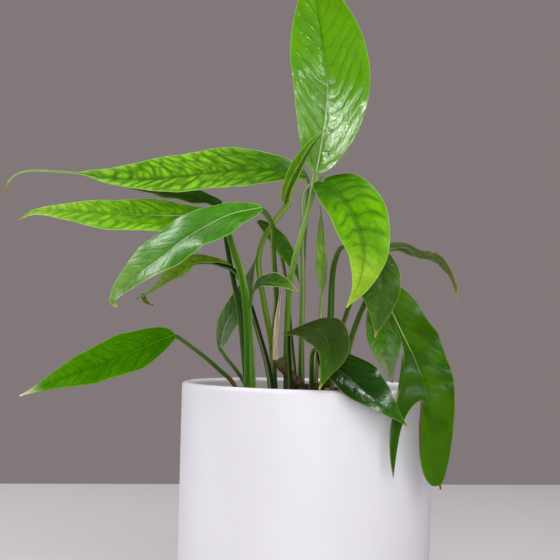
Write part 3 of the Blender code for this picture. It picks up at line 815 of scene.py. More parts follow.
@dataclass
class Leaf:
    """One leaf: a blade bent along its midrib, and its stalk. Lengths are in mm.

    Left and right are as seen from the upper face with the tip up.
    """

    name: str
    slot: str
    finish: BladeFinish | PaperFinish
    rib: tuple              # points along the midrib, from the stalk to the tip
    face: tuple             # where the upper face looks, at the stalk and at the tip
    left: Side
    right: Side
    stalk: tuple = ()       # points from the foot to just below the blade
    skin: StalkFinish = StalkFinish()
    thick: tuple = (1.5, 1.2)       # stalk radius at the foot and at the blade
    lobe: float = 0.0       # how far the heart-shaped base reaches behind the stalk
    tail: float = 0.0       # share of the length that is a thin drip tip
    fold: float = 12.0      # degrees that each half rises from the midrib
    cup: float = 0.0        # rise of the margins, less than 0 where they droop
    wave: float = 0.8       # height of the waves along the margins
    waves: float = 3.0      # number of those waves
    rows: int = 14          # rows of the solid
    split: Optional[Split] = None
    veins: Veins = Veins()
    # The pale edges round the stalk are partly a painted highlight.
    sheaths: tuple = (0.30, 0.62)   # where the two pale edges lie round the stalk, and their show
    turn: float = 0.0       # degrees that the stalk's channel is turned from the blade's upper face
    node: str = ""          # the solid that it stands for, where the name isn't the same

    @cached_property
    def midrib(self) -> tuple[float, np.ndarray, np.ndarray, np.ndarray]:
        """The midrib that the blade is bent along.

        Returns:
            Its length, and the points, directions and upper-face normals along it.
        """
        points = even_points(np.array(self.rib, float) * MM, RIB_SAMPLES)
        length = np.linalg.norm(np.diff(points, axis=0), axis=1).sum()
        along = unit(np.gradient(points, axis=0))
        start, end = np.array(self.face, float)
        share = np.linspace(0, 1, RIB_SAMPLES)[:, None]
        face = start * (1 - share) + end * share
        face = unit(face - (face * along).sum(axis=1, keepdims=True) * along)
        return length, points, along, face

    def place(self, t: np.ndarray, s: np.ndarray,
              past: np.ndarray) -> tuple[np.ndarray, np.ndarray, np.ndarray]:
        """Where points of the blade lie.

        Args:
            t: Place along the midrib, from 0 to 1.
            s: Place across, from -1 at the left margin to 1 at the right.
            past: Whether the point is past the cut of a split blade.

        Returns:
            The points, and each one's distance along and across in the flat blade, in metres.
        """
        length, points, along, face = self.midrib
        right = s > 0
        reach = np.where(right, self.right.half, self.left.half) * MM
        taken = np.minimum(t / (1 - self.tail), 1.0)
        share = np.where(right, self.right.width(taken), self.left.width(taken))
        least = BASE_HALF_WIDTH + (TIP_HALF_WIDTH - BASE_HALF_WIDTH) * t
        across = s * np.hypot(reach * share, least)
        x = length * t - self.lobe * MM * (1 - t) ** LOBE_POWER * np.sin(math.pi / 2 * s) ** 2
        flat_x, flat_across, calm = x, across, 0.0
        # A finger hangs past the cut, and below the cut the blade is narrow and widens again.
        if self.split:
            beyond = np.maximum(s - self.split.root, 0.0)
            out = beyond / (1 - self.split.root)
            down = np.clip(t / self.split.at, 0, 1)
            free = smooth_step((down - FINGER_START) / FINGER_RAMP)
            hang = self.split.reach * down**FINGER_LENGTH_POWER * out**FINGER_WIDTH_POWER
            finger = right & ~past
            x = x + np.where(finger, hang * MM, 0.0)
            regrown = (t - self.split.at) / (1 - self.split.at)
            regrown = self.split.narrow + (1 - self.split.narrow) * regrown
            kept = (np.minimum(s, self.split.root) + beyond * regrown) / np.where(right, s, 1.0)
            widened = across + np.where(finger, self.split.spread * MM * free * out, 0.0)
            across = np.where(right & past, across * kept, widened)
            calm = np.where(finger, free * np.minimum(2 * out, 1.0), 0.0)
        # The midrib's place and directions come from its two nearest samples.
        spot = np.clip(x, 0, length) / length * (len(points) - 1)
        low = np.minimum(spot.astype(int), len(points) - 2)
        part = np.minimum(spot - low, 1.0)[..., None]
        base = points[low] * (1 - part) + points[low + 1] * part
        forward = unit(along[low] * (1 - part) + along[low + 1] * part)
        up = unit(face[low] * (1 - part) + face[low + 1] * part)
        base = base + forward * (np.minimum(x, 0) + np.maximum(x - length, 0))[..., None]
        # Each half rises from the midrib, and bends and waves towards its margin.
        fold = math.radians(self.fold)
        rise = np.hypot(across, FOLD_SOFTNESS) - FOLD_SOFTNESS
        outward = across / reach
        turn = 2 * math.pi * self.waves * t + np.where(right, WAVE_SHIFT, 0.0)
        height = rise * math.sin(fold) + self.cup * MM * outward**2
        height = height + self.wave * MM * outward**2 * np.sin(turn) * (1 - calm)
        aside = np.cross(forward, up) * (across * math.cos(fold))[..., None]
        return base + aside + up * height[..., None], flat_x, flat_across

    def grid(self) -> tuple[np.ndarray, ...]:
        """The fine sheet between the two faces of the blade.

        Returns:
            Points, four-sided faces, distance along, distance across and share along.
        """
        left = max(FEWEST_COLUMNS, round(self.left.half / COLUMN_STEP))
        right = max(FEWEST_COLUMNS, round(self.right.half / COLUMN_STEP))
        s = np.concatenate([np.linspace(-1, 0, left + 1), np.linspace(0, 1, right + 1)[1:]])
        rows = self.rows * ROW_FACTOR
        t = np.linspace(0, 1, rows + 1)
        cut = round(self.split.at * self.rows) * ROW_FACTOR if self.split else rows + 1
        many_t, many_s = np.meshgrid(t, s, indexing="ij")
        past = np.arange(rows + 1)[:, None] > cut
        points, x, across = self.place(many_t, many_s, past)
        near = np.arange(points.shape[0] * points.shape[1]).reshape(points.shape[:2])
        parts = [points.reshape(-1, 3), x.ravel(), across.ravel(), many_t.ravel()]
        below = near.copy()
        # The cut's row is doubled beyond its root, so that the finger comes free.
        if self.split:
            beyond = s > self.split.root
            more, more_x, more_across = self.place(many_t[cut], s, np.ones(len(s), bool))
            below[cut, beyond] = near.size + np.arange(beyond.sum())
            extra = [more[beyond], more_x[beyond], more_across[beyond], many_t[cut][beyond]]
            parts = [np.concatenate(pair) for pair in zip(parts, extra)]
        faces = []
        for row in range(rows):
            top = below[row] if row == cut else near[row]
            low = near[row + 1]
            faces.append(np.column_stack([top[:-1], top[1:], low[1:], low[:-1]]))
        return parts[0], np.vstack(faces), parts[1], parts[2], parts[3]

    def wander(self, x: np.ndarray, across: np.ndarray) -> np.ndarray:
        """How far the side veins stray from even spacing, as a share of it.

        Args:
            x: Distance along the blade, in mm.
            across: Distance across it, in mm.

        Returns:
            The shift at each point.
        """
        draw = np.random.default_rng(sum(map(ord, self.name)))
        start = iter(draw.uniform(0, 2 * math.pi, len(NEAR_WAVES + OUTER_WAVES)))
        near, outer = (
            sum(size * np.sin(x / long + across / wide + next(start)) for size, long, wide in waves)
            for waves in (NEAR_WAVES, OUTER_WAVES))
        return near + outer * smooth_step(np.abs(across) / OUTER_START)

    def dried(self, t: np.ndarray, across: np.ndarray, edge_mm: np.ndarray) -> np.ndarray:
        """Where the edge of a cut has dried.

        Args:
            t: Place along the midrib.
            across: Distance across the flat blade.
            edge_mm: Distance to the margin.

        Returns:
            How dry each point is, from 0 to 1.
        """
        if not self.split:
            return np.zeros(len(t))
        low = smooth_step((t - self.split.at + DRY_START) / (2 * DRY_START))
        low = low * smooth_step((self.split.at + DRY_LENGTH - t) / DRY_FADE)
        low = low * smooth_step((DRY_WIDTH - edge_mm) / DRY_BLUR)
        return np.where(across > 0, low, 0.0)

    def build_blade(self) -> bpy.types.Object:
        """Makes the blade: two faces with sunken veins, thinner towards the margin.

        Returns:
            The piece.
        """
        points, faces, x, across, t = self.grid()
        count = len(points)
        rib_mm = np.abs(across) / MM
        rim = boundary(faces)
        first = rim[:, 0]
        margin = points[first[(t[first] > STALK_END_SHARE) | (rib_mm[first] > STALK_END_WIDTH)]]
        edge_mm = np.array([np.linalg.norm(margin - point, axis=1).min() for point in points]) / MM
        # A side vein lies wherever lateral is a whole number, and the tissue swells between.
        veins = self.veins
        forward = veins.lean * rib_mm + veins.bend * rib_mm**2
        step = np.where(across > 0, SIDE_VEIN_SHIFT, 0.0) * smooth_step(rib_mm / SHIFT_RISE)
        lateral = (x / MM - forward) / veins.spacing + step + self.wander(x / MM, across / MM)
        swell = np.abs(np.sin(math.pi * lateral)) ** SWELL_POWER - SWELL_LEVEL
        swell = swell * smooth_step((rib_mm - SWELL_START) / SWELL_RISE)
        swell = swell * smooth_step(edge_mm / SWELL_FALL)
        uneven = x / MM / UNEVEN_LENGTHS[0] + across / MM / UNEVEN_LENGTHS[1]
        swell = swell * (UNEVEN_MEAN + UNEVEN_SHARE * np.sin(uneven + len(self.name)))
        shift = np.where(across > 0, FRILL_SHIFT, 0.0)
        frill = np.sin(2 * math.pi * x / MM / FRILL_LENGTH + shift)
        frill = frill * smooth_step((rib_mm - FRILL_START) / FRILL_RISE)
        frill = frill * smooth_step(1 - edge_mm / FRILL_REACH)
        groove = np.exp(-(rib_mm / RIB_GROOVE_WIDTH) ** 2) * smooth_step(GROOVE_END - t)
        lift = veins.relief * MM * swell + FRILL_DEPTH * frill - RIB_GROOVE_DEPTH * groove
        normal = point_normals(points, faces)
        middle = points + normal * lift[:, None]
        thick = 1 - MARGIN_THINNING * (1 - smooth_step(edge_mm / MARGIN_WIDTH))
        half = normal * (BLADE_THICKNESS / 2 * thick)[:, None]
        sides = np.column_stack([rim[:, 1], rim[:, 0], rim[:, 0] + count, rim[:, 1] + count])
        every = np.vstack([faces, faces[:, ::-1] + count, sides])
        values = {"lateral": lateral, "rib_mm": rib_mm, "edge_mm": edge_mm, "along": t,
                  "dried": self.dried(t, across, edge_mm)}
        twice = {key: np.concatenate([value, value]) for key, value in values.items()}
        blade = mesh_object(f"{self.name}_blade", np.vstack([middle + half, middle - half]),
                            every, twice)
        flat = np.column_stack([across, x])
        flat = np.vstack([flat, flat]) / UV_UNIT
        layer = blade.data.uv_layers.new(name=UV_NAME)
        layer.uv.foreach_set("vector", flat[every.ravel()].astype(np.float32).ravel())
        for face in Face:
            blade.data.materials.append(self.finish.material(self.name, face))
        under = np.zeros(len(every), np.int32)
        under[len(faces):2 * len(faces)] = 1
        blade.data.polygons.foreach_set("material_index", under)
        return placed(blade, self.slot, self.node or self.name, sharp=70.0)

    def stalk_rings(self) -> tuple[np.ndarray, np.ndarray]:
        """The rings of the stalk and of the raised midrib under the blade.

        Returns:
            Their centres and their radii.
        """
        points = even_points(np.array(self.stalk + self.rib[:1], float) * MM, STALK_RINGS)
        share = np.linspace(0, 1, STALK_RINGS) ** STALK_TAPER
        radii = (self.thick[0] + (self.thick[1] - self.thick[0]) * share) * MM
        # The rings under the blade touch it and draw in.
        _, rib, _, face = self.midrib
        last = self.thick[1] * MM
        share = RIB_SHARE * (1 - self.tail)
        under, thin = [rib[0] - face[0] * last], [last]
        for row in range(1, int(share * self.rows) + 1):
            place = row / self.rows
            i = round(place * (len(rib) - 1))
            radius = max(last * (1 - place / share) ** STALK_TAPER, RIB_END_RADIUS)
            thin.append(radius)
            under.append(rib[i] - face[i] * (radius + RIB_DEPTH))
        return np.vstack([points[:-1], under]), np.concatenate([radii[:-1], thin])

    def build_stalk(self, tree: bpy.types.NodeTree) -> bpy.types.Object:
        """Makes the stalk and the raised midrib as one channelled sweep.

        Args:
            tree: The sweep tree.

        Returns:
            The piece.
        """
        rings, radii = self.stalk_rings()
        steps = walked_lengths(rings)
        path = even_points(rings, STALK_STEPS)
        walked = walked_lengths(path)
        walked *= steps[-1] / walked[-1]
        along = walked / steps[STALK_RINGS - 1]
        knee = KNEE_SWELL * np.exp(-((along - KNEE_PLACE) / KNEE_WIDTH) ** 2)
        foot = FOOT_SWELL * np.exp(-(along / FOOT_WIDTH) ** 2)
        radius = np.interp(walked, steps, radii) * (1 + knee + foot)
        joint = int(np.argmin(np.abs(along - 1)))
        upper, axis = self.midrib[3][0], unit(path[joint] - path[joint - 1])
        turn = math.radians(self.turn)
        upper = upper * math.cos(turn) + np.cross(axis, upper) * math.sin(turn)
        facing = carried(path, joint, upper)
        values = {"radius_m": radius, "facing": facing, "along": np.minimum(along, 1.0),
                  "length_mm": walked / MM}
        source = line_object(f"{self.name}_stalk", path, values)
        sizes = {"Sides": STALK_SIDES, "Channel Depth": CHANNEL_DEPTH,
                 "Channel Reach": self.sheaths[0] * 2, "Edge Show": self.sheaths[1],
                 "Material": self.skin.material(self.name)}
        return placed(grown(source, tree, sizes), self.slot, self.name)

    def build(self, tree: bpy.types.NodeTree) -> None:
        """Makes the blade and, where there is one, the stalk.

        Args:
            tree: The sweep tree.
        """
        self.build_blade()
        if self.stalk:
            self.build_stalk(tree)


def boundary(faces: np.ndarray) -> np.ndarray:
    """Directed edges that belong to one face only.

    Args:
        faces: Four-sided faces.

    Returns:
        Two point numbers for each edge.
    """
    edges = np.vstack([faces[:, [i, (i + 1) % 4]] for i in range(4)])
    size = int(faces.max()) + 1
    keys = edges.min(axis=1).astype(np.int64) * size + edges.max(axis=1)
    _, inverse, counts = np.unique(keys, return_inverse=True, return_counts=True)
    return edges[counts[inverse] == 1]


def point_normals(points: np.ndarray, faces: np.ndarray) -> np.ndarray:
    """Finds which way a sheet of four-sided faces looks at each of its points.

    Args:
        points: The sheet's points.
        faces: The sheet's faces.

    Returns:
        A normal for each point.
    """
    a, b, c, d = (points[faces[:, i]] for i in range(4))
    across = np.cross(c - a, d - b)
    total = np.zeros_like(points)
    for i in range(4):
        np.add.at(total, faces[:, i], across)
    return unit(total)


def carried(path: np.ndarray, start: int, facing: np.ndarray) -> np.ndarray:
    """A direction carried along a path without twisting.

    Args:
        path: The path's points.
        start: The number of the point where the direction is given.
        facing: The direction there.

    Returns:
        A direction at right angles to the path at each point.
    """
    along = unit(np.gradient(path, axis=0))
    result = np.zeros_like(path)
    for order in (range(start, len(path)), range(start, -1, -1)):
        held = np.array(facing, float)
        for i in order:
            held = unit(held - along[i] * (held @ along[i]))
            result[i] = held
    return result


@dataclass
class Stem:
    """A stem with no blade of its own. Lengths are in mm."""

    name: str
    slot: str
    finish: BarkFinish
    path: tuple
    radii: tuple
    joints: tuple = ()      # places of the swollen rings along it
    swell: float = 0.7
    width: float = 0.09     # of a swollen ring, as a share of the length
    scars: int = 9          # fine leaf scars along it
    scar_depth: float = 0.10

    def build(self, tree: bpy.types.NodeTree) -> bpy.types.Object:
        """Makes the stem with its swollen joints and fine scars.

        Args:
            tree: The sweep tree.

        Returns:
            The piece.
        """
        points = even_points(np.array(self.path, float) * MM, STALK_STEPS)
        share = np.linspace(0, 1, STALK_STEPS)
        radii = self.radii[0] + (self.radii[1] - self.radii[0]) * share
        for place in self.joints:
            radii = radii + self.swell * np.exp(-((share - place) / self.width) ** 2)
        radii = radii - self.scar_depth * np.abs(np.cos(math.pi * self.scars * share)) ** 8
        radii[-len(STEM_END):] *= STEM_END
        length = np.linalg.norm(np.diff(points, axis=0), axis=1).sum()
        values = {"radius_m": radii * MM, "facing": carried(points, 0, np.array((0.0, -1.0, 0.0))),
                  "along": share, "length_mm": share * length / MM}
        source = line_object(self.name + "_bark", points, values)
        sizes = {"Sides": STALK_SIDES, "Channel Depth": 0.0, "Channel Reach": 0.6,
                 "Edge Show": 0.0, "Material": self.finish.material(self.name)}
        return placed(grown(source, tree, sizes), self.slot, self.name)


def closed(tree: bpy.types.NodeTree, shape: Any, material: Any) -> bpy.types.NodeTree:
    """Ends a growth tree: its shape becomes real geometry with its material.

    Args:
        tree: The tree.
        shape: The geometry socket.
        material: The material socket.

    Returns:
        The tree.
    """
    shape = add(tree, "GeometryNodeRealizeInstances", {0: shape})
    shape = add(tree, "GeometryNodeSetMaterial", {0: shape, "Material": material})
    add(tree, "NodeGroupOutput", {0: shape})
    return tree


def sweep_tree() -> bpy.types.NodeTree:
    """Geometry Nodes that sweep a channelled outline along a path.

    The path carries radius_m, facing, along and length_mm. The outline has a shallow channel on
    the side that it faces, with a pale edge on each side of it; the stalk's material paints shade
    into that channel, and the pale edges are partly a painted highlight.

    Returns:
        The tree.
    """
    sizes = {"Sides": "NodeSocketInt", "Channel Depth": "NodeSocketFloat",
             "Channel Reach": "NodeSocketFloat", "Edge Show": "NodeSocketFloat",
             "Material": "NodeSocketMaterial"}
    tree = new_tree("channelled_sweep", sizes)
    given = add(tree, "NodeGroupInput").node.outputs
    circle = add(tree, "GeometryNodeCurvePrimitiveCircle", {"Resolution": given["Sides"],
                                                            "Radius": 1.0})
    # Turns are counted from the side that faces, in half circles from 0 to 1.
    factor = add(tree, "GeometryNodeSplineParameter", out="Factor")
    turn = add(tree, "ShaderNodeMath", {0: factor, 1: 2.0}, operation="MULTIPLY")
    back = add(tree, "ShaderNodeMath", {0: 2.0, 1: turn}, operation="SUBTRACT")
    turn = add(tree, "ShaderNodeMath", {0: turn, 1: back}, operation="MINIMUM")
    dip = add(tree, "ShaderNodeMapRange", {"Value": turn, "From Min": given["Channel Reach"],
                                           "From Max": 0.0}, interpolation_type="SMOOTHSTEP")
    depth = add(tree, "ShaderNodeMath", {0: dip, 1: given["Channel Depth"]}, operation="MULTIPLY")
    keep = add(tree, "ShaderNodeMath", {0: 1.0, 1: depth}, operation="SUBTRACT")
    place = add(tree, "GeometryNodeInputPosition")
    dented = add(tree, "ShaderNodeVectorMath", {0: place, "Scale": keep}, operation="SCALE")
    outline = add(tree, "GeometryNodeSetPosition", {"Geometry": circle, "Position": dented})
    off = add(tree, "ShaderNodeMath", {0: turn, 1: given["Channel Reach"]}, operation="SUBTRACT")
    off = add(tree, "ShaderNodeMath", {0: off}, operation="ABSOLUTE")
    edge = add(tree, "ShaderNodeMapRange", {"Value": off, "From Min": 0.13, "From Max": 0.03,
                                            "To Max": given["Edge Show"]})
    for key, value, kind in (("ridge", edge, "FLOAT"), ("channel", dip, "FLOAT"),
                             ("round", place, "FLOAT_VECTOR")):
        outline = add(tree, "GeometryNodeStoreNamedAttribute",
                      {"Geometry": outline, "Name": key, "Value": value}, data_type=kind)
    facing, around, radius, length = (
        add(tree, "GeometryNodeInputNamedAttribute", {"Name": key}, data_type=kind)
        for key, kind in (("facing", "FLOAT_VECTOR"), ("round", "FLOAT_VECTOR"),
                          ("radius_m", "FLOAT"), ("length_mm", "FLOAT")))
    path = add(tree, "GeometryNodeMeshToCurve", {0: given["Geometry"]})
    path = add(tree, "GeometryNodeSetCurveNormal", {"Curve": path, "Normal": facing}, mode="FREE")
    shape = add(tree, "GeometryNodeCurveToMesh", {"Curve": path, "Profile Curve": outline,
                                                  "Scale": radius, "Fill Caps": True})
    # Skin coordinates in millimetres, which close round the stalk without a seam.
    around = add(tree, "ShaderNodeVectorMath", {0: around, "Scale": 2.0}, operation="SCALE")
    up = add(tree, "ShaderNodeCombineXYZ", {"Z": length})
    skin = add(tree, "ShaderNodeVectorMath", {0: around, 1: up}, operation="ADD")
    shape = add(tree, "GeometryNodeStoreNamedAttribute",
                {"Geometry": shape, "Name": "skin_mm", "Value": skin}, data_type="FLOAT_VECTOR")
    return closed(tree, shape, given["Material"])


def lathe_tree() -> bpy.types.NodeTree:
    """Geometry Nodes that turn a profile round the Z axis, with its seam and poles closed.

    Returns:
        The tree.
    """
    tree = new_tree("lathe", {"Sides": "NodeSocketInt", "Material": "NodeSocketMaterial"})
    given = add(tree, "NodeGroupInput").node.outputs
    rings = add(tree, "GeometryNodeAttributeDomainSize", {0: given["Geometry"]}, "Point Count")
    stops = add(tree, "FunctionNodeIntegerMath", {0: given["Sides"], 1: 1}, operation="ADD")
    sheet = add(tree, "GeometryNodeMeshGrid", {"Vertices X": stops, "Vertices Y": rings,
                                               "Size X": 1.0, "Size Y": 1.0})
    place = add(tree, "GeometryNodeInputPosition")
    spot = add(tree, "ShaderNodeSeparateXYZ", {0: place}).node.outputs
    last = add(tree, "ShaderNodeMath", {0: rings, 1: 1.0}, operation="SUBTRACT")
    # The sheet's Y counts the profile's points, and its X is the turn.
    row, angle = (add(tree, "ShaderNodeMath", {0: spot[axis], 1: 0.5}, operation="ADD")
                  for axis in ("Y", "X"))
    row, angle = (add(tree, "ShaderNodeMath", {0: part, 1: whole}, operation="MULTIPLY")
                  for part, whole in ((row, last), (angle, 2 * math.pi)))
    row = add(tree, "ShaderNodeMath", {0: row}, operation="ROUND")
    found = add(tree, "GeometryNodeSampleIndex", {"Geometry": given["Geometry"], "Value": place,
                                                  "Index": row}, data_type="FLOAT_VECTOR",
                domain="POINT")
    profile = add(tree, "ShaderNodeSeparateXYZ", {0: found}).node.outputs
    turned_to = {"Z": profile["Z"]}
    for axis, operation in (("X", "COSINE"), ("Y", "SINE")):
        part = add(tree, "ShaderNodeMath", {0: angle}, operation=operation)
        turned_to[axis] = add(tree, "ShaderNodeMath", {0: profile["X"], 1: part},
                              operation="MULTIPLY")
    position = add(tree, "ShaderNodeCombineXYZ", turned_to)
    shape = add(tree, "GeometryNodeSetPosition", {"Geometry": sheet, "Position": position})
    shape = add(tree, "GeometryNodeMergeByDistance", {"Geometry": shape, "Distance": 1e-6})
    return closed(tree, shape, given["Material"])


def crumb_tree() -> bpy.types.NodeTree:
    """Geometry Nodes that scatter rough crumbs over a surface, each with its own tint.

    Returns:
        The tree.
    """
    floats = ("Spacing", "Density", "Smallest", "Largest", "Roughness")
    sizes = {**dict.fromkeys(floats, "NodeSocketFloat"), "Seed": "NodeSocketInt",
             "Material": "NodeSocketMaterial"}
    tree = new_tree("crumbs", sizes)
    given = add(tree, "NodeGroupInput").node.outputs
    spread = add(tree, "GeometryNodeDistributePointsOnFaces",
                 {"Mesh": given["Geometry"], "Distance Min": given["Spacing"],
                  "Density Max": given["Density"], "Seed": given["Seed"]},
                 distribute_method="POISSON")
    tint, pick = (add(tree, "FunctionNodeRandomValue", {2: 0.0, 3: 1.0, "Seed": seed}, 1,
                      data_type="FLOAT") for seed in (3, 5))
    shape, turn = (add(tree, "FunctionNodeRandomValue", {0: least, 1: most, "Seed": seed}, 0,
                       data_type="FLOAT_VECTOR")
                   for least, most, seed in (((0.6, 0.5, 0.3), (1.3, 1.0, 0.8), 7),
                                             ((0.0, 0.0, 0.0), (0.9, 0.9, 6.3), 11)))
    spread = add(tree, "GeometryNodeStoreNamedAttribute",
                 {"Geometry": spread, "Name": "tint", "Value": tint}, data_type="FLOAT")
    # Small crumbs are far more common than large ones.
    pick = add(tree, "ShaderNodeMath", {0: pick, 1: 2.6}, operation="POWER")
    size = add(tree, "ShaderNodeMapRange", {"Value": pick, "To Min": given["Smallest"],
                                            "To Max": given["Largest"]})
    scale = add(tree, "ShaderNodeVectorMath", {0: shape, "Scale": size}, operation="SCALE")
    crumb = add(tree, "GeometryNodeMeshIcoSphere", {"Radius": 1.0, "Subdivisions": 2})
    crumbs = add(tree, "GeometryNodeInstanceOnPoints",
                 {"Points": spread, "Instance": crumb, "Rotation": turn, "Scale": scale})
    crumbs = add(tree, "GeometryNodeRealizeInstances", {0: crumbs})
    # Their skin is uneven over about a millimetre.
    place = add(tree, "GeometryNodeInputPosition")
    noise = add(tree, "ShaderNodeTexNoise", {"Vector": place, "Scale": 900.0, "Detail": 1.0})
    push = add(tree, "ShaderNodeMath", {0: noise, 1: 0.5}, operation="SUBTRACT")
    push = add(tree, "ShaderNodeMath", {0: push, 1: given["Roughness"]}, operation="MULTIPLY")
    normal = add(tree, "GeometryNodeInputNormal")
    offset = add(tree, "ShaderNodeVectorMath", {0: normal, "Scale": push}, operation="SCALE")
    crumbs = add(tree, "GeometryNodeSetPosition", {"Geometry": crumbs, "Offset": offset})
    return closed(tree, crumbs, given["Material"])


def arc(centre: tuple[float, float], radius: float, start: float, end: float,
        count: int) -> list[tuple[float, float]]:
    """Points of an arc in the X and Z of a turned profile, angles in degrees."""
    angles = [math.radians(start + (end - start) * i / (count - 1)) for i in range(count)]
    return [(centre[0] + radius * math.cos(a), centre[1] + radius * math.sin(a)) for a in angles]


def turned(name: str, profile: list[tuple[float, float]], sides: int, tree: bpy.types.NodeTree,
           material: bpy.types.Material) -> bpy.types.Object:
    """A solid turned round the Z axis.

    Args:
        name: The piece's name.
        profile: Radius and height of each point, starting and ending on the axis.
        sides: How many sides it has.
        tree: The lathe tree.
        material: Its material.

    Returns:
        The object.
    """
    points = np.array([(radius, 0.0, height) for radius, height in profile])
    return grown(line_object(name, points), tree, {"Sides": sides, "Material": material})


@dataclass
class Pot:
    """The straight white cylinder with a rounded rim and a plain flat foot."""

    radius: float = 0.070
    height: float = 0.130
    wall: float = 0.0046
    middle_ring: float = 0.03
    floor: float = 0.009
    foot_bevel: float = 0.0022
    inner_corner: float = 0.008
    sides: int = 192
    wall_rings: int = 14    # rings that keep the straight wall's shading straight
    ring_gap: float = 0.0006        # from a rounded edge to the first of them
    flat_gap: float = 0.0008        # from a rounded edge to the next ring of a flat face
    finish: GlazeFinish = GlazeFinish()

    def profile(self) -> list[tuple[float, float]]:
        """The turned profile.

        Returns:
            Its points, from the middle of the foot round to the middle of the floor.
        """
        # The rounded edges have a ring about every 10 degrees.
        inner = self.radius - self.wall
        lip = self.wall / 2
        foot = self.radius - self.foot_bevel
        points = [(0.0, 0.0), (foot * 0.5, 0.0), (foot - self.flat_gap, 0.0)]
        points += arc((foot, self.foot_bevel), self.foot_bevel, -90, 0, 9)
        low, high = self.foot_bevel + self.ring_gap, self.height - lip - self.ring_gap
        rings = np.linspace(low, high, self.wall_rings)
        points += [(self.radius, float(z)) for z in rings]
        points += arc((self.radius - lip, self.height - lip), lip, 0, 180, 19)
        corner = self.floor + self.inner_corner
        rings = np.linspace(high, corner + self.ring_gap, self.wall_rings)
        points += [(inner, float(z)) for z in rings]
        points += arc((inner - self.inner_corner, corner), self.inner_corner, 0, -90, 11)
        flat = inner - self.inner_corner - self.flat_gap
        return points + [(r, self.floor) for r in (flat, self.middle_ring, 0.0)]

    def build(self, tree: bpy.types.NodeTree) -> bpy.types.Object:
        """Makes the pot."""
        pot = turned("pot_glazed", self.profile(), self.sides, tree, self.finish.material())
        return placed(pot, "pot_glaze", "pot", sharp=45.0)


@dataclass
class Soil:
    """The potting mix: a rough mounded surface with crumbs, filling the pot to near its rim."""

    outer: float = 0.0651
    bottom: float = 0.0093
    corner: float = 0.0077
    edge_height: float = 0.1185
    mound: float = 0.0105
    mound_width: float = 0.024
    mound_x: float = 0.006
    clods: float = 0.0009
    middle_ring: float = 0.03
    wall_rings: tuple = (0.03, 0.1165, 6)       # lowest, highest and how many
    rings: int = 64
    sides: int = 180
    grit: float = 0.0007    # height of the fine roughness
    crumb_rings: int = 23   # of the surface that crumbs are strewn over
    crumb_sides: int = 72
    crumb_edge: float = 0.0022      # how far the crumbs stay from the wall
    seed: int = 4
    finish: SoilFinish = SoilFinish()

    def height(self, x: np.ndarray, y: np.ndarray) -> np.ndarray:
        """Height of the surface, with its mound and clods.

        Args:
            x: Place to the right.
            y: Place to the back.

        Returns:
            The height at each place.
        """
        away = np.hypot(x - self.mound_x, y)
        low = self.edge_height + self.mound * np.exp(-(away / self.mound_width) ** 2 / 2)
        # Clods are 15 to 20 mm from one to the next, and the grit 3 to 10 mm.
        clods = np.sin(x / 0.0051 + 1.3 * np.sin(y / 0.0067)) * np.sin(y / 0.0058 + x / 0.013)
        fine = np.sin(x / 0.0011 + 2 * np.sin(y / 0.0016))
        fine = fine * np.sin(y / 0.0013 + 2 * np.sin(x / 0.0019))
        fine = fine + 0.6 * np.sin(x / 0.0005 + y / 0.0021) * np.sin(y / 0.0006 - x / 0.0017)
        return low + self.clods * clods + self.grit * 0.5 * fine

    def build(self, lathe: bpy.types.NodeTree, crumbs: bpy.types.NodeTree) -> None:
        """Makes the body of soil and its crumbs.

        Args:
            lathe: The lathe tree.
            crumbs: The crumb tree.
        """
        corner = (self.outer - self.corner, self.bottom + self.corner)
        profile = [(0.0, self.bottom), (self.middle_ring, self.bottom)]
        profile += arc(corner, self.corner, -90, 0, 7)
        profile += [(self.outer, float(z)) for z in np.linspace(*self.wall_rings)]
        radii = np.linspace(self.outer, 0, self.rings)[:-1]
        profile += [(float(r), self.edge_height) for r in radii] + [(0.0, self.edge_height)]
        soil = turned("soil_mix", profile, self.sides, lathe, self.finish.material("bed"))
        for vertex in soil.data.vertices:
            if vertex.co.z > self.edge_height - MM:
                vertex.co.z = float(self.height(vertex.co.x, vertex.co.y))
        placed(soil, "soil_mix", "soil", sharp=80.0)
        self.scatter(crumbs)

    def scatter(self, tree: bpy.types.NodeTree) -> bpy.types.Object:
        """Makes the loose crumbs on top.

        Args:
            tree: The crumb tree.

        Returns:
            The piece.
        """
        sides = self.crumb_sides
        radii = np.linspace(0.0, self.outer - self.crumb_edge, self.crumb_rings + 1)[1:]
        angles = np.linspace(0, 2 * math.pi, sides + 1)[:-1]
        x, y = (np.outer(radii, part).ravel() for part in (np.cos(angles), np.sin(angles)))
        ring = np.arange(sides)
        here = np.column_stack([ring, ring + sides, (ring + 1) % sides + sides, (ring + 1) % sides])
        faces = np.vstack([here + row * sides for row in range(self.crumb_rings - 1)])
        source = mesh_object("soil_crumbs", np.column_stack([x, y, self.height(x, y)]), faces)
        sizes = {"Spacing": 0.0016, "Density": 130000.0, "Smallest": 0.0005, "Largest": 0.0024,
                 "Roughness": 0.0011, "Seed": self.seed, "Material": self.finish.material("crumbs")}
        return placed(grown(source, tree, sizes), "soil_mix", None, sharp=80.0)


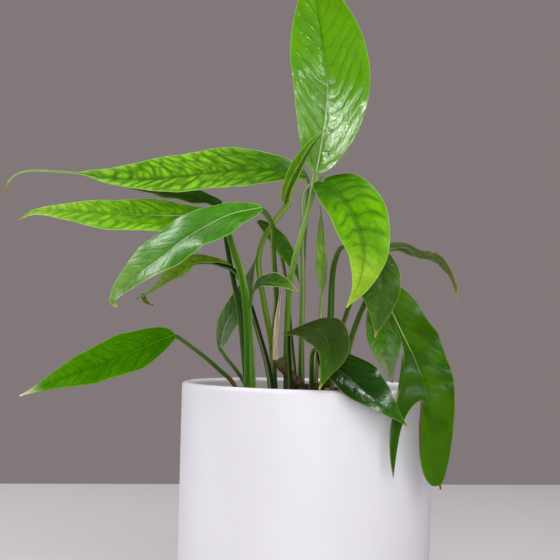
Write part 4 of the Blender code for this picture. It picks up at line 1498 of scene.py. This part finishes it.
LEAVES = (
    Leaf(
        name="leaf_top", slot="leaf_mid",
        finish=BladeFinish(near="#78b816", middle="#70b806", far="#6cac04", patch="#589a04",
                           vein="#3f7c02", rib="#b4cf84", rib_far="#3f7804", margin="#a5cc6a",
                           halo_show=0.16, net_show=0.12, vein_show=0.3, roughness=0.18, shine=0.85,
                           emboss=0.9),
        rib=((2, -4, 248), (6, -8, 274), (7, -10, 294), (5, -8, 311), (0, 2, 345), (-5, 14, 375)),
        face=((0.05, -1, 0.25), (0.0, -1, 0.45)),
        left=Side(19.5, widest=0.45), right=Side(24.5, widest=0.45, base=0.65),
        stalk=((-11, -4, 119), (-12, -6, 149), (-11, -12, 186), (-6, -12, 210), (-1, -9, 230)),
        thick=(1.9, 1.5), fold=9, wave=0.7, rows=16,
        veins=Veins(spacing=10, lean=1.25, bend=0.012, relief=0.5),
        # The light middle and top of this stalk are partly a painted highlight.
        skin=StalkFinish(foot="#404f0c", middle="#7cb424", top="#b4e070"),
    ),
    Leaf(
        name="leaf_folded", slot="leaf_bright",
        finish=BladeFinish(near="#98cc28", middle="#66a60c", far="#7fb83a", patch="#4b7a08",
                           vein="#3a6406", rib="#4a7a0c", rib_far="#4b7a10", margin="#b4d070",
                           under="#5f9418"),
        rib=((-15, -23, 229), (-13, -25, 236), (-9, -26, 244), (-3, -26, 256), (3, -24, 266),
             (8, -19, 272)),
        face=((-0.75, -0.45, 0.45), (-0.75, -0.45, 0.5)),
        left=Side(6.5, widest=0.40, opening=0.25), right=Side(6.5, widest=0.40, opening=0.25),
        stalk=((-18, 1, 119), (-21, 0, 151), (-27, -8, 182), (-29, -13, 198), (-26, -19, 210),
               (-21, -22, 218)),
        thick=(2.0, 1.7), fold=46, wave=0.3, rows=12,
        skin=StalkFinish(foot="#6f801c", middle="#78a818", top="#7b9c2c"),
    ),
    Leaf(
        name="leaf_long_left", slot="leaf_bright",
        # Painted sheen: the pale far colour stands for a whitish sheen on the tip third.
        finish=BladeFinish(near="#4c8c04", middle="#94dc1c", far="#b4dc6c", patch="#7ec014",
                           vein="#2c5c02", rib="#3f7206", rib_far="#37690a", tip="#a3802c",
                           margin="#c3dc84", halo_show=0.38, net_show=0.6, vein_show=0.5,
                           rib_shadow=0.5, shine=0.22),
        rib=((-3, 8, 247), (-18, 4, 249), (-35, 2, 249), (-55, 0, 247), (-75, -2, 244), (-94, -4, 242),
             (-114, -5, 242), (-127, -6, 244), (-141, -6, 245), (-159, -6, 245), (-168, -6, 241),
             (-173, -6, 232)),
        face=((0, -0.72, 0.7), (0, -0.8, 0.6)),
        left=Side(15.5, widest=0.40, taper=1.15), right=Side(17.5, widest=0.40, taper=0.85),
        stalk=((-4, 6, 119), (-4, 7, 150), (-4, 8, 180), (-4, 10, 205), (-3, 11, 232)),
        thick=(2.0, 1.4), tail=0.27, fold=14, cup=-1.5, waves=4, rows=20,
        veins=Veins(spacing=8.5, lean=1.0, bend=0.01),
        skin=StalkFinish(foot="#456319", middle="#5d8026", top="#b4cc8c"),
    ),
    Leaf(
        name="leaf_second_left", slot="leaf_bright",
        finish=BladeFinish(near="#64b00c", middle="#94de24", far="#aee044", patch="#78bc1c",
                           vein="#3a7006", rib="#b4d488", rib_far="#5d9420", tip="#b98a3a",
                           margin="#c3dc84", halo_show=0.28, net_show=0.5, vein_show=0.4,
                           rib_shadow=0.3),
        rib=((-52, 2, 224), (-62, 0, 222.5), (-78, -4, 222), (-106, -8, 222), (-139, -12, 223),
             (-153, -14, 222), (-162, -14, 217)),
        face=((0, -0.7, 0.7), (0, -0.75, 0.6)),
        left=Side(16, widest=0.42, taper=1.20), right=Side(11.5, widest=0.36, taper=1.45),
        stalk=((-31, -22, 119), (-33, -20, 159), (-37, -14, 186), (-45, -5, 209), (-49, 0, 219)),
        thick=(3.7, 1.5), fold=14, cup=-1.0, rows=15, turn=-50, sheaths=(0.24, 0.9),
        veins=Veins(spacing=8, lean=1.0, bend=0.01),
        skin=StalkFinish(foot="#4a8e0c", middle="#427c08", top="#6ca020", ridge="#b8d088",
                         streak="#2c520a"),
    ),
    Leaf(
        name="leaf_behind_left", slot="leaf_shade",
        finish=BladeFinish(near="#246006", middle="#38640a", far="#80744e", patch="#40401e",
                           vein="#0d2802", rib="#3f5a20", rib_far="#2a4a0c"),
        rib=((-52, 15, 229), (-60, 18, 233), (-82, 22, 237), (-107, 26, 239)),
        face=((0, -0.35, 0.9), (0, -0.5, 0.85)),
        left=Side(12, widest=0.36), right=Side(10),
        stalk=((-32, -13, 119), (-36, -11, 150), (-39, -5, 170), (-46, 5, 200), (-50, 12, 220)),
        thick=(2.0, 1.3), fold=16, cup=-2.0, rows=11,
        skin=StalkFinish(foot="#5c7c38", middle="#4c7818", top="#2b560c", streak="#1c300a"),
    ),
    Leaf(
        name="leaf_front_left", slot="leaf_deep",
        # The pale far colour is partly a painted sheen.
        finish=BladeFinish(near="#56a40e", middle="#4a9408", far="#86b450", patch="#3a7808",
                           vein="#2a5c04", rib="#b4d090", rib_far="#4a8020", tip="#b4c060",
                           margin="#b4d488", halo_show=0.12, net_show=0.3, vein_show=0.22,
                           rib_shadow=0.15, roughness=0.27, shine=0.6, emboss=0.3),
        rib=((-27, -31, 226), (-44, -35, 221.5), (-59, -40, 213), (-69, -44, 206), (-79, -48, 197),
             (-89, -52, 189), (-98, -54, 181), (-103, -55, 174), (-101, -54, 170)),
        face=((-0.2, -0.6, 0.8), (-0.5, -0.7, 0.45)),
        left=Side(16, widest=0.30, base=0.55, taper=0.85),
        right=Side(18.5, widest=0.50, base=0.75, taper=1.05),
        stalk=((-18, -6, 119), (-19, -7, 157), (-18, -14, 176), (-20, -24, 201), (-21, -29, 215),
               (-23, -31, 222)),
        thick=(1.8, 1.5), fold=8, cup=-2.0, wave=1.0, rows=15,
        veins=Veins(spacing=8, lean=0.9, relief=0.1),
        skin=StalkFinish(foot="#183c04", middle="#3a6408", top="#46681a", dry="#a0642e", dry_from=0.19,
                         dry_to=0.38),
    ),
    Leaf(
        name="leaf_arched_left", slot="leaf_dark",
        finish=BladeFinish(near="#90c82c", middle="#8cb628", far="#9ab856", patch="#5c8a1e",
                           vein="#3a5c0c", rib="#8aa454", rib_far="#6a8a34", tip="#7a5a28"),
        rib=((-44, -2, 195), (-55, -9, 197.5), (-66, -16, 195), (-75, -21, 188), (-84, -24, 181),
             (-94, -27, 175)),
        face=((-0.1, -0.45, 1), (-0.5, -0.45, 0.8)),
        left=Side(9, widest=0.45), right=Side(9, widest=0.45),
        stalk=((-18, -13, 119), (-22, -10, 140), (-27, -6, 156), (-33, -3, 174), (-39, -1, 188)),
        thick=(2.3, 1.5), fold=20, cup=-1.5, wave=0.9, rows=12,
        skin=StalkFinish(foot="#4f5a30", middle="#142408", top="#1c3808", streak="#101c06"),
    ),
    Leaf(
        name="leaf_arched_left_shred", node="leaf_arched_left", slot="leaf_dark",
        finish=BladeFinish(near="#9cc04c", middle="#86a840", far="#6a7c38", patch="#5c6a24",
                           vein="#3a4c0c", rib="#8aa454", rib_far="#5a6a2c", tip="#5a4420", shine=0.05),
        rib=((-91, -25.8, 178), (-89.5, -26.5, 174.5), (-87.5, -27, 172.6), (-85, -27, 171.8)),
        face=((-0.3, -0.8, 0.3), (0.1, -0.7, 0.7)),
        left=Side(0.9, opening=0.6), right=Side(1.1, opening=0.6),
        fold=25, cup=0.0, wave=0.4, rows=7,
        veins=Veins(spacing=4, relief=0.05),
    ),
    Leaf(
        name="leaf_low_left", slot="leaf_deep",
        finish=BladeFinish(near="#3f8203", middle="#4a9004", far="#5ca014", patch="#3a7404",
                           vein="#2a5c02", rib="#5c9420", rib_far="#2f6604", tip="#d8deb0",
                           tip_from=0.84, rib_mm=0.4, net_show=0.22, fleck_show=0.35, emboss=0.5,
                           shine=0.0, wax=0.0),
        rib=((-72, -34, 156), (-80, -36, 153), (-95, -40, 145.5), (-116, -44, 137), (-136, -47, 129),
             (-152, -48, 122)),
        face=((-0.1, -0.75, 0.65), (-0.2, -0.75, 0.6)),
        left=Side(14.5, widest=0.34), right=Side(14, widest=0.34, base=0.55),
        stalk=((-37, -23, 119), (-40, -24, 130), (-46, -27, 136), (-54, -30, 143), (-64, -33, 150.5)),
        thick=(1.4, 1.1), fold=12, cup=-0.8, rows=14,
        skin=StalkFinish(foot="#3a4c10", middle="#3f5c14", top="#506424", dry="#7a3e1c", dry_from=0.02,
                         dry_to=0.34),
    ),
    Leaf(
        name="leaf_small_grey", slot="leaf_dark",
        # The grey near colour is partly the paler underside and partly a painted greyish sheen.
        finish=BladeFinish(near="#849a74", middle="#5f883c", far="#3f6420", patch="#4f6a3c",
                           vein="#33541e", rib="#8aa078", rib_far="#5a7048", roughness=0.5, shine=0.5),
        rib=((-49, -5, 149), (-47.5, -5, 158), (-45, -2, 165), (-40, 2, 174), (-36, 6, 183),
             (-31, 12, 200)),
        face=((0.4, -0.9, 0.1), (0.2, -0.9, 0.3)),
        left=Side(6, widest=0.38), right=Side(6, widest=0.38),
        stalk=((-33, -7, 119), (-34, -7, 128), (-40, -6, 137), (-46, -5, 144)),
        thick=(1.3, 1.0), fold=10, wave=0.4, rows=10,
        veins=Veins(spacing=5, relief=0.15),
        skin=StalkFinish(foot="#4f5a20", middle="#566628", top="#6a8040"),
    ),
    Leaf(
        name="leaf_small_right", slot="leaf_deep",
        finish=BladeFinish(near="#1c4004", middle="#487606", far="#7c9c38", patch="#2a4c08",
                           vein="#244a04", rib="#5c8a30", rib_far="#4a7f18", tip="#c08a6a",
                           margin="#b4d488", tip_from=0.93),
        rib=((-30.5, -26, 182), (-25, -32, 185), (-16, -39, 184.5), (-6, -46, 181)),
        face=((0.1, -0.8, 0.55), (0.1, -0.8, 0.5)),
        left=Side(6.5), right=Side(3.5),
        stalk=((-32.1, -20.4, 172), (-31.8, -22, 177)),
        thick=(0.9, 0.8), fold=18, wave=0.4, rows=10,
        veins=Veins(spacing=5, relief=0.2),
        skin=StalkFinish(foot="#2d480a", middle="#3f6016", top="#4f7a20"),
    ),
    Leaf(
        name="leaf_heart_right", slot="leaf_bright",
        # Painted light: the bright yellow-green far colour and tip stand for light shining through the
        # blade, and the darker near colour for the shade at its top.
        finish=BladeFinish(near="#326804", middle="#80cc08", far="#c8ee38", patch="#64ac06",
                           vein="#2f6602", rib="#4f8a10", rib_far="#57920c", tip="#c6ee60",
                           margin="#c8dc94", halo_show=0.36, net_show=0.25, vein_show=0.45,
                           rib_shadow=0.6, vein_end=0.1, margin_show=0.45, shine=0.12),
        rib=((6, -12, 242), (10.5, -19, 239), (16, -25, 233), (21, -29, 226), (25, -33, 217),
             (28, -35, 207), (28.5, -36, 198), (26, -36, 185), (20, -34, 173)),
        face=((0.1, -0.85, 0.6), (0.15, -1, 0.0)),
        left=Side(19.5, widest=0.28, opening=0.15, base=0.42, taper=1.10),
        right=Side(12.5, widest=0.36, opening=0.10, base=0.36),
        stalk=((-3, -4, 119), (-4, -3, 152), (-4, -1, 186), (-5, 1, 206), (-5, 2, 232), (-4.5, 3, 240),
               (-1, 4, 244.5), (3.5, 2.5, 245.5), (7, -3, 245)),
        thick=(1.8, 1.2), lobe=3.5, fold=8, cup=-2.5, rows=15,
        veins=Veins(spacing=8.5, lean=0.15, bend=0.02),
        skin=StalkFinish(foot="#3b5b0b", middle="#70904c", top="#b8c4a0"),
    ),
    Leaf(
        name="leaf_behind_right", slot="leaf_dark",
        finish=BladeFinish(near="#465f22", middle="#4b7816", far="#4f9010", patch="#385c10",
                           vein="#2a4c0a", rib="#5c7c30", rib_far="#4a6c20", tip="#c3b840",
                           margin="#a8b03c", tip_from=0.9, halo_show=0.12, net_show=0.3,
                           vein_show=0.15),
        rib=((31, -8, 205), (37, -13, 197), (39.5, -18, 186), (39, -21, 172), (36, -23, 157)),
        face=((0.1, -0.95, 0.4), (0.1, -1, -0.1)),
        left=Side(11, widest=0.35, opening=0.30), right=Side(14.5, widest=0.32, opening=0.30),
        stalk=((12, -9, 119), (15, -8, 149), (21, -4, 171), (27, -3, 190), (29, -5, 199)),
        thick=(1.9, 1.3), lobe=5, fold=8, cup=-2.0, wave=0.6, rows=12,
        veins=Veins(spacing=7.5, lean=0.5, bend=0.03),
        skin=StalkFinish(foot="#4a6a1c", middle="#34540f", top="#456a1c"),
    ),
    Leaf(
        name="leaf_far_right", slot="leaf_dark",
        finish=BladeFinish(near="#5c8844", middle="#5c6a3c", far="#7c8040", patch="#465830",
                           vein="#33461c", rib="#7c8c5c", rib_far="#5c7040", tip="#c3b840",
                           under="#6a8448", tip_from=0.9, net_show=0.15, halo_show=0.1, vein_show=0.15,
                           vein_end=0.1),
        rib=((35, 26, 203), (42, 28, 207), (51, 32, 208.5), (59, 36, 205.5), (72, 40, 202),
             (80, 42, 196), (85, 44, 187), (87, 44, 180)),
        face=((0.1, -0.12, 1), (0.8, -0.5, 0.5)),
        left=Side(8, widest=0.45, taper=0.9), right=Side(7, widest=0.45, taper=0.9),
        stalk=((11, 3, 119), (12, 5, 170), (13, 8, 195), (18, 15, 208), (27, 22, 207)),
        thick=(2.6, 1.3), fold=18, wave=1.1, waves=3.5, rows=14,
        veins=Veins(spacing=6), skin=StalkFinish(foot="#3d5a1c", middle="#487216", top="#6b9232"),
    ),
    Leaf(
        name="leaf_inner_right", slot="leaf_deep",
        # Painted light: the middle is lifted against the shade of the split leaf in front, and the pale
        # far colour is a painted sheen.
        finish=BladeFinish(near="#5aa818", middle="#7cd414", far="#dcf0b4", patch="#64a82c",
                           vein="#3f7c18", rib="#8fc060", rib_far="#6aa83c", roughness=0.3, shine=0.4),
        rib=((38, 15, 182), (42, 15, 169), (44, 13, 155), (46, 12, 141), (48, 11, 131)),
        face=((0, -1, 0.4), (0, -1, 0.1)),
        left=Side(9.5), right=Side(11),
        stalk=((18, 8, 119), (20, 11, 140), (26, 15, 163), (33, 18, 180), (36, 17, 184.5)),
        thick=(1.4, 1.1), fold=10, cup=-1.0, wave=0.5, rows=11,
        skin=StalkFinish(foot="#33481a", middle="#4a6a24", top="#6f9440"),
    ),
    Leaf(
        name="leaf_split_right", slot="leaf_dark",
        finish=BladeFinish(near="#42700a", middle="#2c5803", far="#427804", patch="#558c0a",
                           vein="#274e02", rib="#a8c078", rib_far="#3a6806", tip="#6b4a24",
                           margin="#8a9c40", halo_show=0.05, net_show=0.16, vein_show=0.08,
                           rib_shadow=0.10, patch_show=0.4, vein_end=0.3, emboss=0.5, shine=0.1,
                           tip_from=0.97),
        rib=((40, -1, 184), (45, -10, 173), (51, -28, 159), (56, -44, 147.5), (60, -55, 136),
             (63, -60, 123), (65, -61, 108), (68, -57, 92), (71, -51, 79)),
        face=((0.15, -0.8, 0.55), (0.30, -0.95, 0.1)),
        left=Side(19, widest=0.28, opening=0.45, taper=0.60),
        right=Side(16, widest=0.63, opening=0.03, base=4.1, taper=0.40),
        stalk=((19, -11, 119), (21, -9, 144), (26, -3, 163), (32, 2, 178), (36, 3, 184)),
        thick=(1.9, 1.4), tail=0.02, fold=6, cup=-1.5, wave=1.2, waves=4, rows=22,
        split=Split(at=0.64, root=0.19, reach=35, spread=8.7, narrow=0.08),
        veins=Veins(spacing=9, relief=0.15),
        skin=StalkFinish(foot="#244208", middle="#2c5408", top="#5d8026"),
    ),
    Leaf(
        name="leaf_rim_dark", slot="leaf_shade",
        finish=BladeFinish(near="#082003", middle="#1c4604", far="#468418", patch="#123404",
                           vein="#0e2c04", rib="#3f6420", rib_far="#356010", margin="#8a9c3c",
                           tip="#b4a03c", halo_show=0.10, net_show=0.25, vein_show=0.15, emboss=0.6,
                           roughness=0.22, shine=0.8),
        rib=((6, -50, 150), (12, -57, 144), (19, -64, 138.5), (28, -71, 131), (37.5, -74, 124.5),
             (45.5, -73, 118), (51.5, -71, 113)),
        face=((0.3, -0.75, 0.6), (0.45, -0.85, 0.3)),
        left=Side(17, widest=0.38, base=0.5), right=Side(9.5, widest=0.40),
        stalk=((2, -27, 119), (2, -31, 135), (2, -38, 147), (3.5, -44, 150.5)),
        fold=8, cup=-1.5, wave=0.6, rows=14,
        veins=Veins(spacing=7.5, relief=0.2),
        skin=StalkFinish(foot="#24360a", middle="#3c5b11", top="#5d8a2c"),
    ),
    Leaf(
        name="leaf_rim_heart", slot="leaf_dark",
        finish=BladeFinish(near="#3e4228", middle="#364c18", far="#3c7c06", patch="#313e17",
                           vein="#243c0a", rib="#455426", rib_far="#3a6010", margin="#a8a43c",
                           tip="#c3b840", margin_show=0.35, tip_from=0.93, halo_show=0.08,
                           net_show=0.25, vein_show=0.1, emboss=0.5, shine=0.1),
        rib=((-9, -42, 160), (0, -56, 162), (8, -67, 158), (11, -73, 150), (9, -78, 141),
             (6, -80, 131)),
        face=((0.1, -0.6, 0.8), (0.1, -1, 0.0)),
        left=Side(13.5, widest=0.40, opening=0.35), right=Side(9, widest=0.40, opening=0.35),
        stalk=((-9, -22, 119), (-10, -24, 140), (-11, -31, 153), (-10.5, -37, 158)),
        lobe=4, fold=8, cup=-2.0, wave=0.5, rows=13,
        veins=Veins(spacing=7, lean=0.5, bend=0.03, relief=0.2),
        skin=StalkFinish(foot="#1c2c08", middle="#263a08", top="#2c4c0c"),
    ),
    Leaf(
        name="leaf_hanging_dark", slot="leaf_shade",
        finish=BladeFinish(near="#365018", middle="#4a8409", far="#4c8a10", patch="#2c5a0a",
                           vein="#244c06", rib="#4a7020", rib_far="#3f6a14"),
        rib=((-30, 8, 221), (-23, 6, 215), (-15, 4, 205), (-9, 4, 195), (-6, 2, 187)),
        face=((0.1, -0.8, 0.6), (0.1, -1, 0.2)),
        left=Side(5), right=Side(5),
        stalk=((-5, 14, 119), (-9, 16, 150), (-14, 18, 190), (-20, 17, 212), (-27, 13, 222)),
        thick=(1.2, 1.0), wave=0.3, rows=10,
        veins=Veins(spacing=5, relief=0.2),
        skin=StalkFinish(foot="#416131", middle="#2d4414", top="#3d5a20"),
    ),
    Leaf(
        name="leaf_rolled_new", slot="leaf_young",
        # Painted light: the near and middle colours are lifted so that the shaded inside of the fold
        # reads as the lit outside of a rolled leaf.
        finish=BladeFinish(near="#aac850", middle="#a0d820", far="#549810", patch="#88b82c",
                           vein="#5c8418", rib="#a8cc6c", rib_far="#8fb84c", under="#8fc03c",
                           vein_show=0.2, net_show=0.2, shine=0.6),
        rib=((7, 10, 183), (8, 9, 192), (8, 8, 203), (6.5, 7, 216), (4.5, 6, 230)),
        face=((-0.6, -0.8, 0.0), (-0.6, -0.8, 0.0)),
        left=Side(6, widest=0.35), right=Side(6, widest=0.35),
        stalk=((4, 10, 119), (5.5, 11, 150), (6.5, 11, 170)),
        thick=(1.4, 1.2), fold=55, wave=0.0, rows=10,
        veins=Veins(spacing=6, relief=0.1),
        skin=StalkFinish(foot="#8a8c1c", middle="#9cb848", top="#ccdc88"),
    ),
    Leaf(
        name="sheath_papery", slot="sheath_dry",
        finish=PaperFinish(),
        rib=((-18, -9.3, 143), (-18, -9.9, 157), (-17, -14.8, 170), (-16, -19.5, 182)),
        face=((0.2, -1, 0.1), (0.3, -1, 0.2)),
        left=Side(1.1, widest=0.35, opening=0.6), right=Side(1.1, widest=0.35, opening=0.6),
        fold=0, cup=-0.7, wave=0.2, rows=9,
        veins=Veins(relief=0.0),
    ),
)

STEM = Stem(
    name="stem_brown",
    slot="stem_bark",
    finish=BarkFinish(),
    path=((-2, -18, 119), (-5, -18, 130), (-11, -19, 137), (-16, -20, 144)),
    radii=(2.4, 3.0),
    joints=(0.45, 0.85),
)


@dataclass
class Studio:
    """The floor, the soft lights, the grey room and the camera at the photograph's angle."""

    floor_colour: str = "#cbc9ca"
    floor_haze: str = "#b4afaf"
    floor_reach: float = 3.0        # to each side and towards the camera
    floor_back: tuple = (0.0, 1.29)     # how far back the table reaches at its left and right
    room: tuple = (0.222, 0.188, 0.191)     # linear grey of the room
    distance: float = 0.840         # from the pot's axis to the camera
    eye_height: float = 0.170
    yaw: float = 1.146              # degrees to the left
    pitch: float = 1.2
    roll: float = 1.41
    lens: float = 96.43             # for a 36 mm sensor

    def floor(self) -> None:
        """Makes the pale floor."""
        made = new_material("matt_pale_table")
        tree = made.node_tree
        place = add(tree, "ShaderNodeTexCoord", out="Object")
        haze = add(tree, "ShaderNodeTexNoise", {"Vector": place, "Scale": 3.0, "Detail": 1.0})
        colour = laid(tree, self.floor_colour,
                      Layer(self.floor_haze, haze, show=0.06, rise=Rise.EVEN))
        paint = add(tree, "ShaderNodeBsdfPrincipled", {"Base Color": colour, "Roughness": 0.9,
                                                       "Specular IOR Level": 0.0})
        add(tree, "ShaderNodeOutputMaterial", {"Surface": paint})
        left, right = self.floor_back
        reach = self.floor_reach
        corners = [(-reach, -reach, 0), (reach, -reach, 0), (reach, right, 0), (-reach, left, 0)]
        floor = mesh_object("floor", np.array(corners), np.array([(0, 1, 2, 3)]))
        floor.data.materials.append(made)

    def room_light(self) -> None:
        """Fills the room with an even grey."""
        world = bpy.data.worlds.new("grey_room")
        world.use_nodes = True
        world.node_tree.nodes.clear()
        glow = add(world.node_tree, "ShaderNodeBackground", {"Color": (*self.room, 1.0),
                                                             "Strength": 1.0})
        add(world.node_tree, "ShaderNodeOutputWorld", {"Surface": glow})
        world.cycles_visibility.glossy = False
        bpy.context.scene.world = world
        bpy.context.scene.view_settings.view_transform = "Standard"

    def light(self, name: str, place: tuple, size: tuple, watts: float, role: Role,
              aim: tuple = (0.0, 0.0, 0.2)) -> None:
        """Adds one softbox.

        Args:
            name: Its name.
            place: Where it stands.
            size: Its width and height.
            watts: Its power.
            role: What it is for.
            aim: The point that it looks at.
        """
        lamp = bpy.data.lights.new(name, "AREA")
        lamp.shape = "RECTANGLE"
        lamp.size, lamp.size_y = size
        lamp.energy = watts
        obj = bpy.data.objects.new(name, lamp)
        back = (Vector(place) - Vector(aim)).normalized()
        side = Vector((0.0, 0.001, 1.0)).cross(back).normalized()
        turn = Matrix((side, back.cross(side), back)).transposed()
        obj.matrix_world = Matrix.Translation(place) @ turn.to_4x4()
        obj.visible_camera = False
        obj.visible_glossy = role is not Role.SOFT
        obj.visible_diffuse = role is not Role.SHEEN
        obj.visible_transmission = role is not Role.SHEEN
        bpy.context.scene.collection.objects.link(obj)

    def camera(self) -> None:
        """Stands the camera where the photograph was taken."""
        lens = bpy.data.cameras.new("camera")
        lens.sensor_width, lens.lens = 36.0, self.lens
        lens.clip_start, lens.clip_end = 0.02, 20.0
        eye = bpy.data.objects.new("camera", lens)
        eye.matrix_world = Matrix.Translation((0.0, -self.distance, self.eye_height))
        for degrees, axis in ((self.yaw, "Z"), (90 + self.pitch, "X"), (self.roll, "Z")):
            eye.matrix_world @= Matrix.Rotation(math.radians(degrees), 4, axis)
        bpy.context.scene.collection.objects.link(eye)
        bpy.context.scene.camera = eye

    def build(self) -> None:
        """Sets up everything round the plant."""
        self.floor()
        self.room_light()
        self.light("key", (0.30, -1.30, 0.80), (1.2, 1.2), 13.0, Role.SOFT)
        self.light("overhead", (-0.15, 0.05, 1.35), (0.9, 0.8), 9.5, Role.SOFT)
        self.light("left_rim", (-1.25, 0.25, 0.50), (0.4, 1.2), 8.0, Role.BOTH)
        self.light("front", (0.06, -1.45, 0.30), (0.22, 0.22), 2.0, Role.BOTH)
        for name, place, side, watts in (
                ("sheen_low", (-0.29, -1.06, 0.17), 0.20, 3.6),
                ("sheen_low_right", (0.29, -1.05, 0.11), 0.09, 1.0),
                ("sheen_left", (-0.60, 0.30, 1.11), 0.20, 2.0),
                ("sheen_rim", (0.62, -0.66, 0.84), 0.24, 3.0),
                ("sheen_right", (0.45, 0.01, 1.20), 0.14, 2.2)):
            self.light(name, place, (side, side), watts, Role.SHEEN)
        self.camera()


def main() -> None:
    """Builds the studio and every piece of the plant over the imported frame."""
    logging.basicConfig(level=logging.INFO, format="%(name)s %(message)s")
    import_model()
    Studio().build()
    sweep, lathe, crumbs = sweep_tree(), lathe_tree(), crumb_tree()
    Pot().build(lathe)
    Soil().build(lathe, crumbs)
    STEM.build(sweep)
    for leaf in LEAVES:
        leaf.build(sweep)


if __name__ == "__main__":
    main()
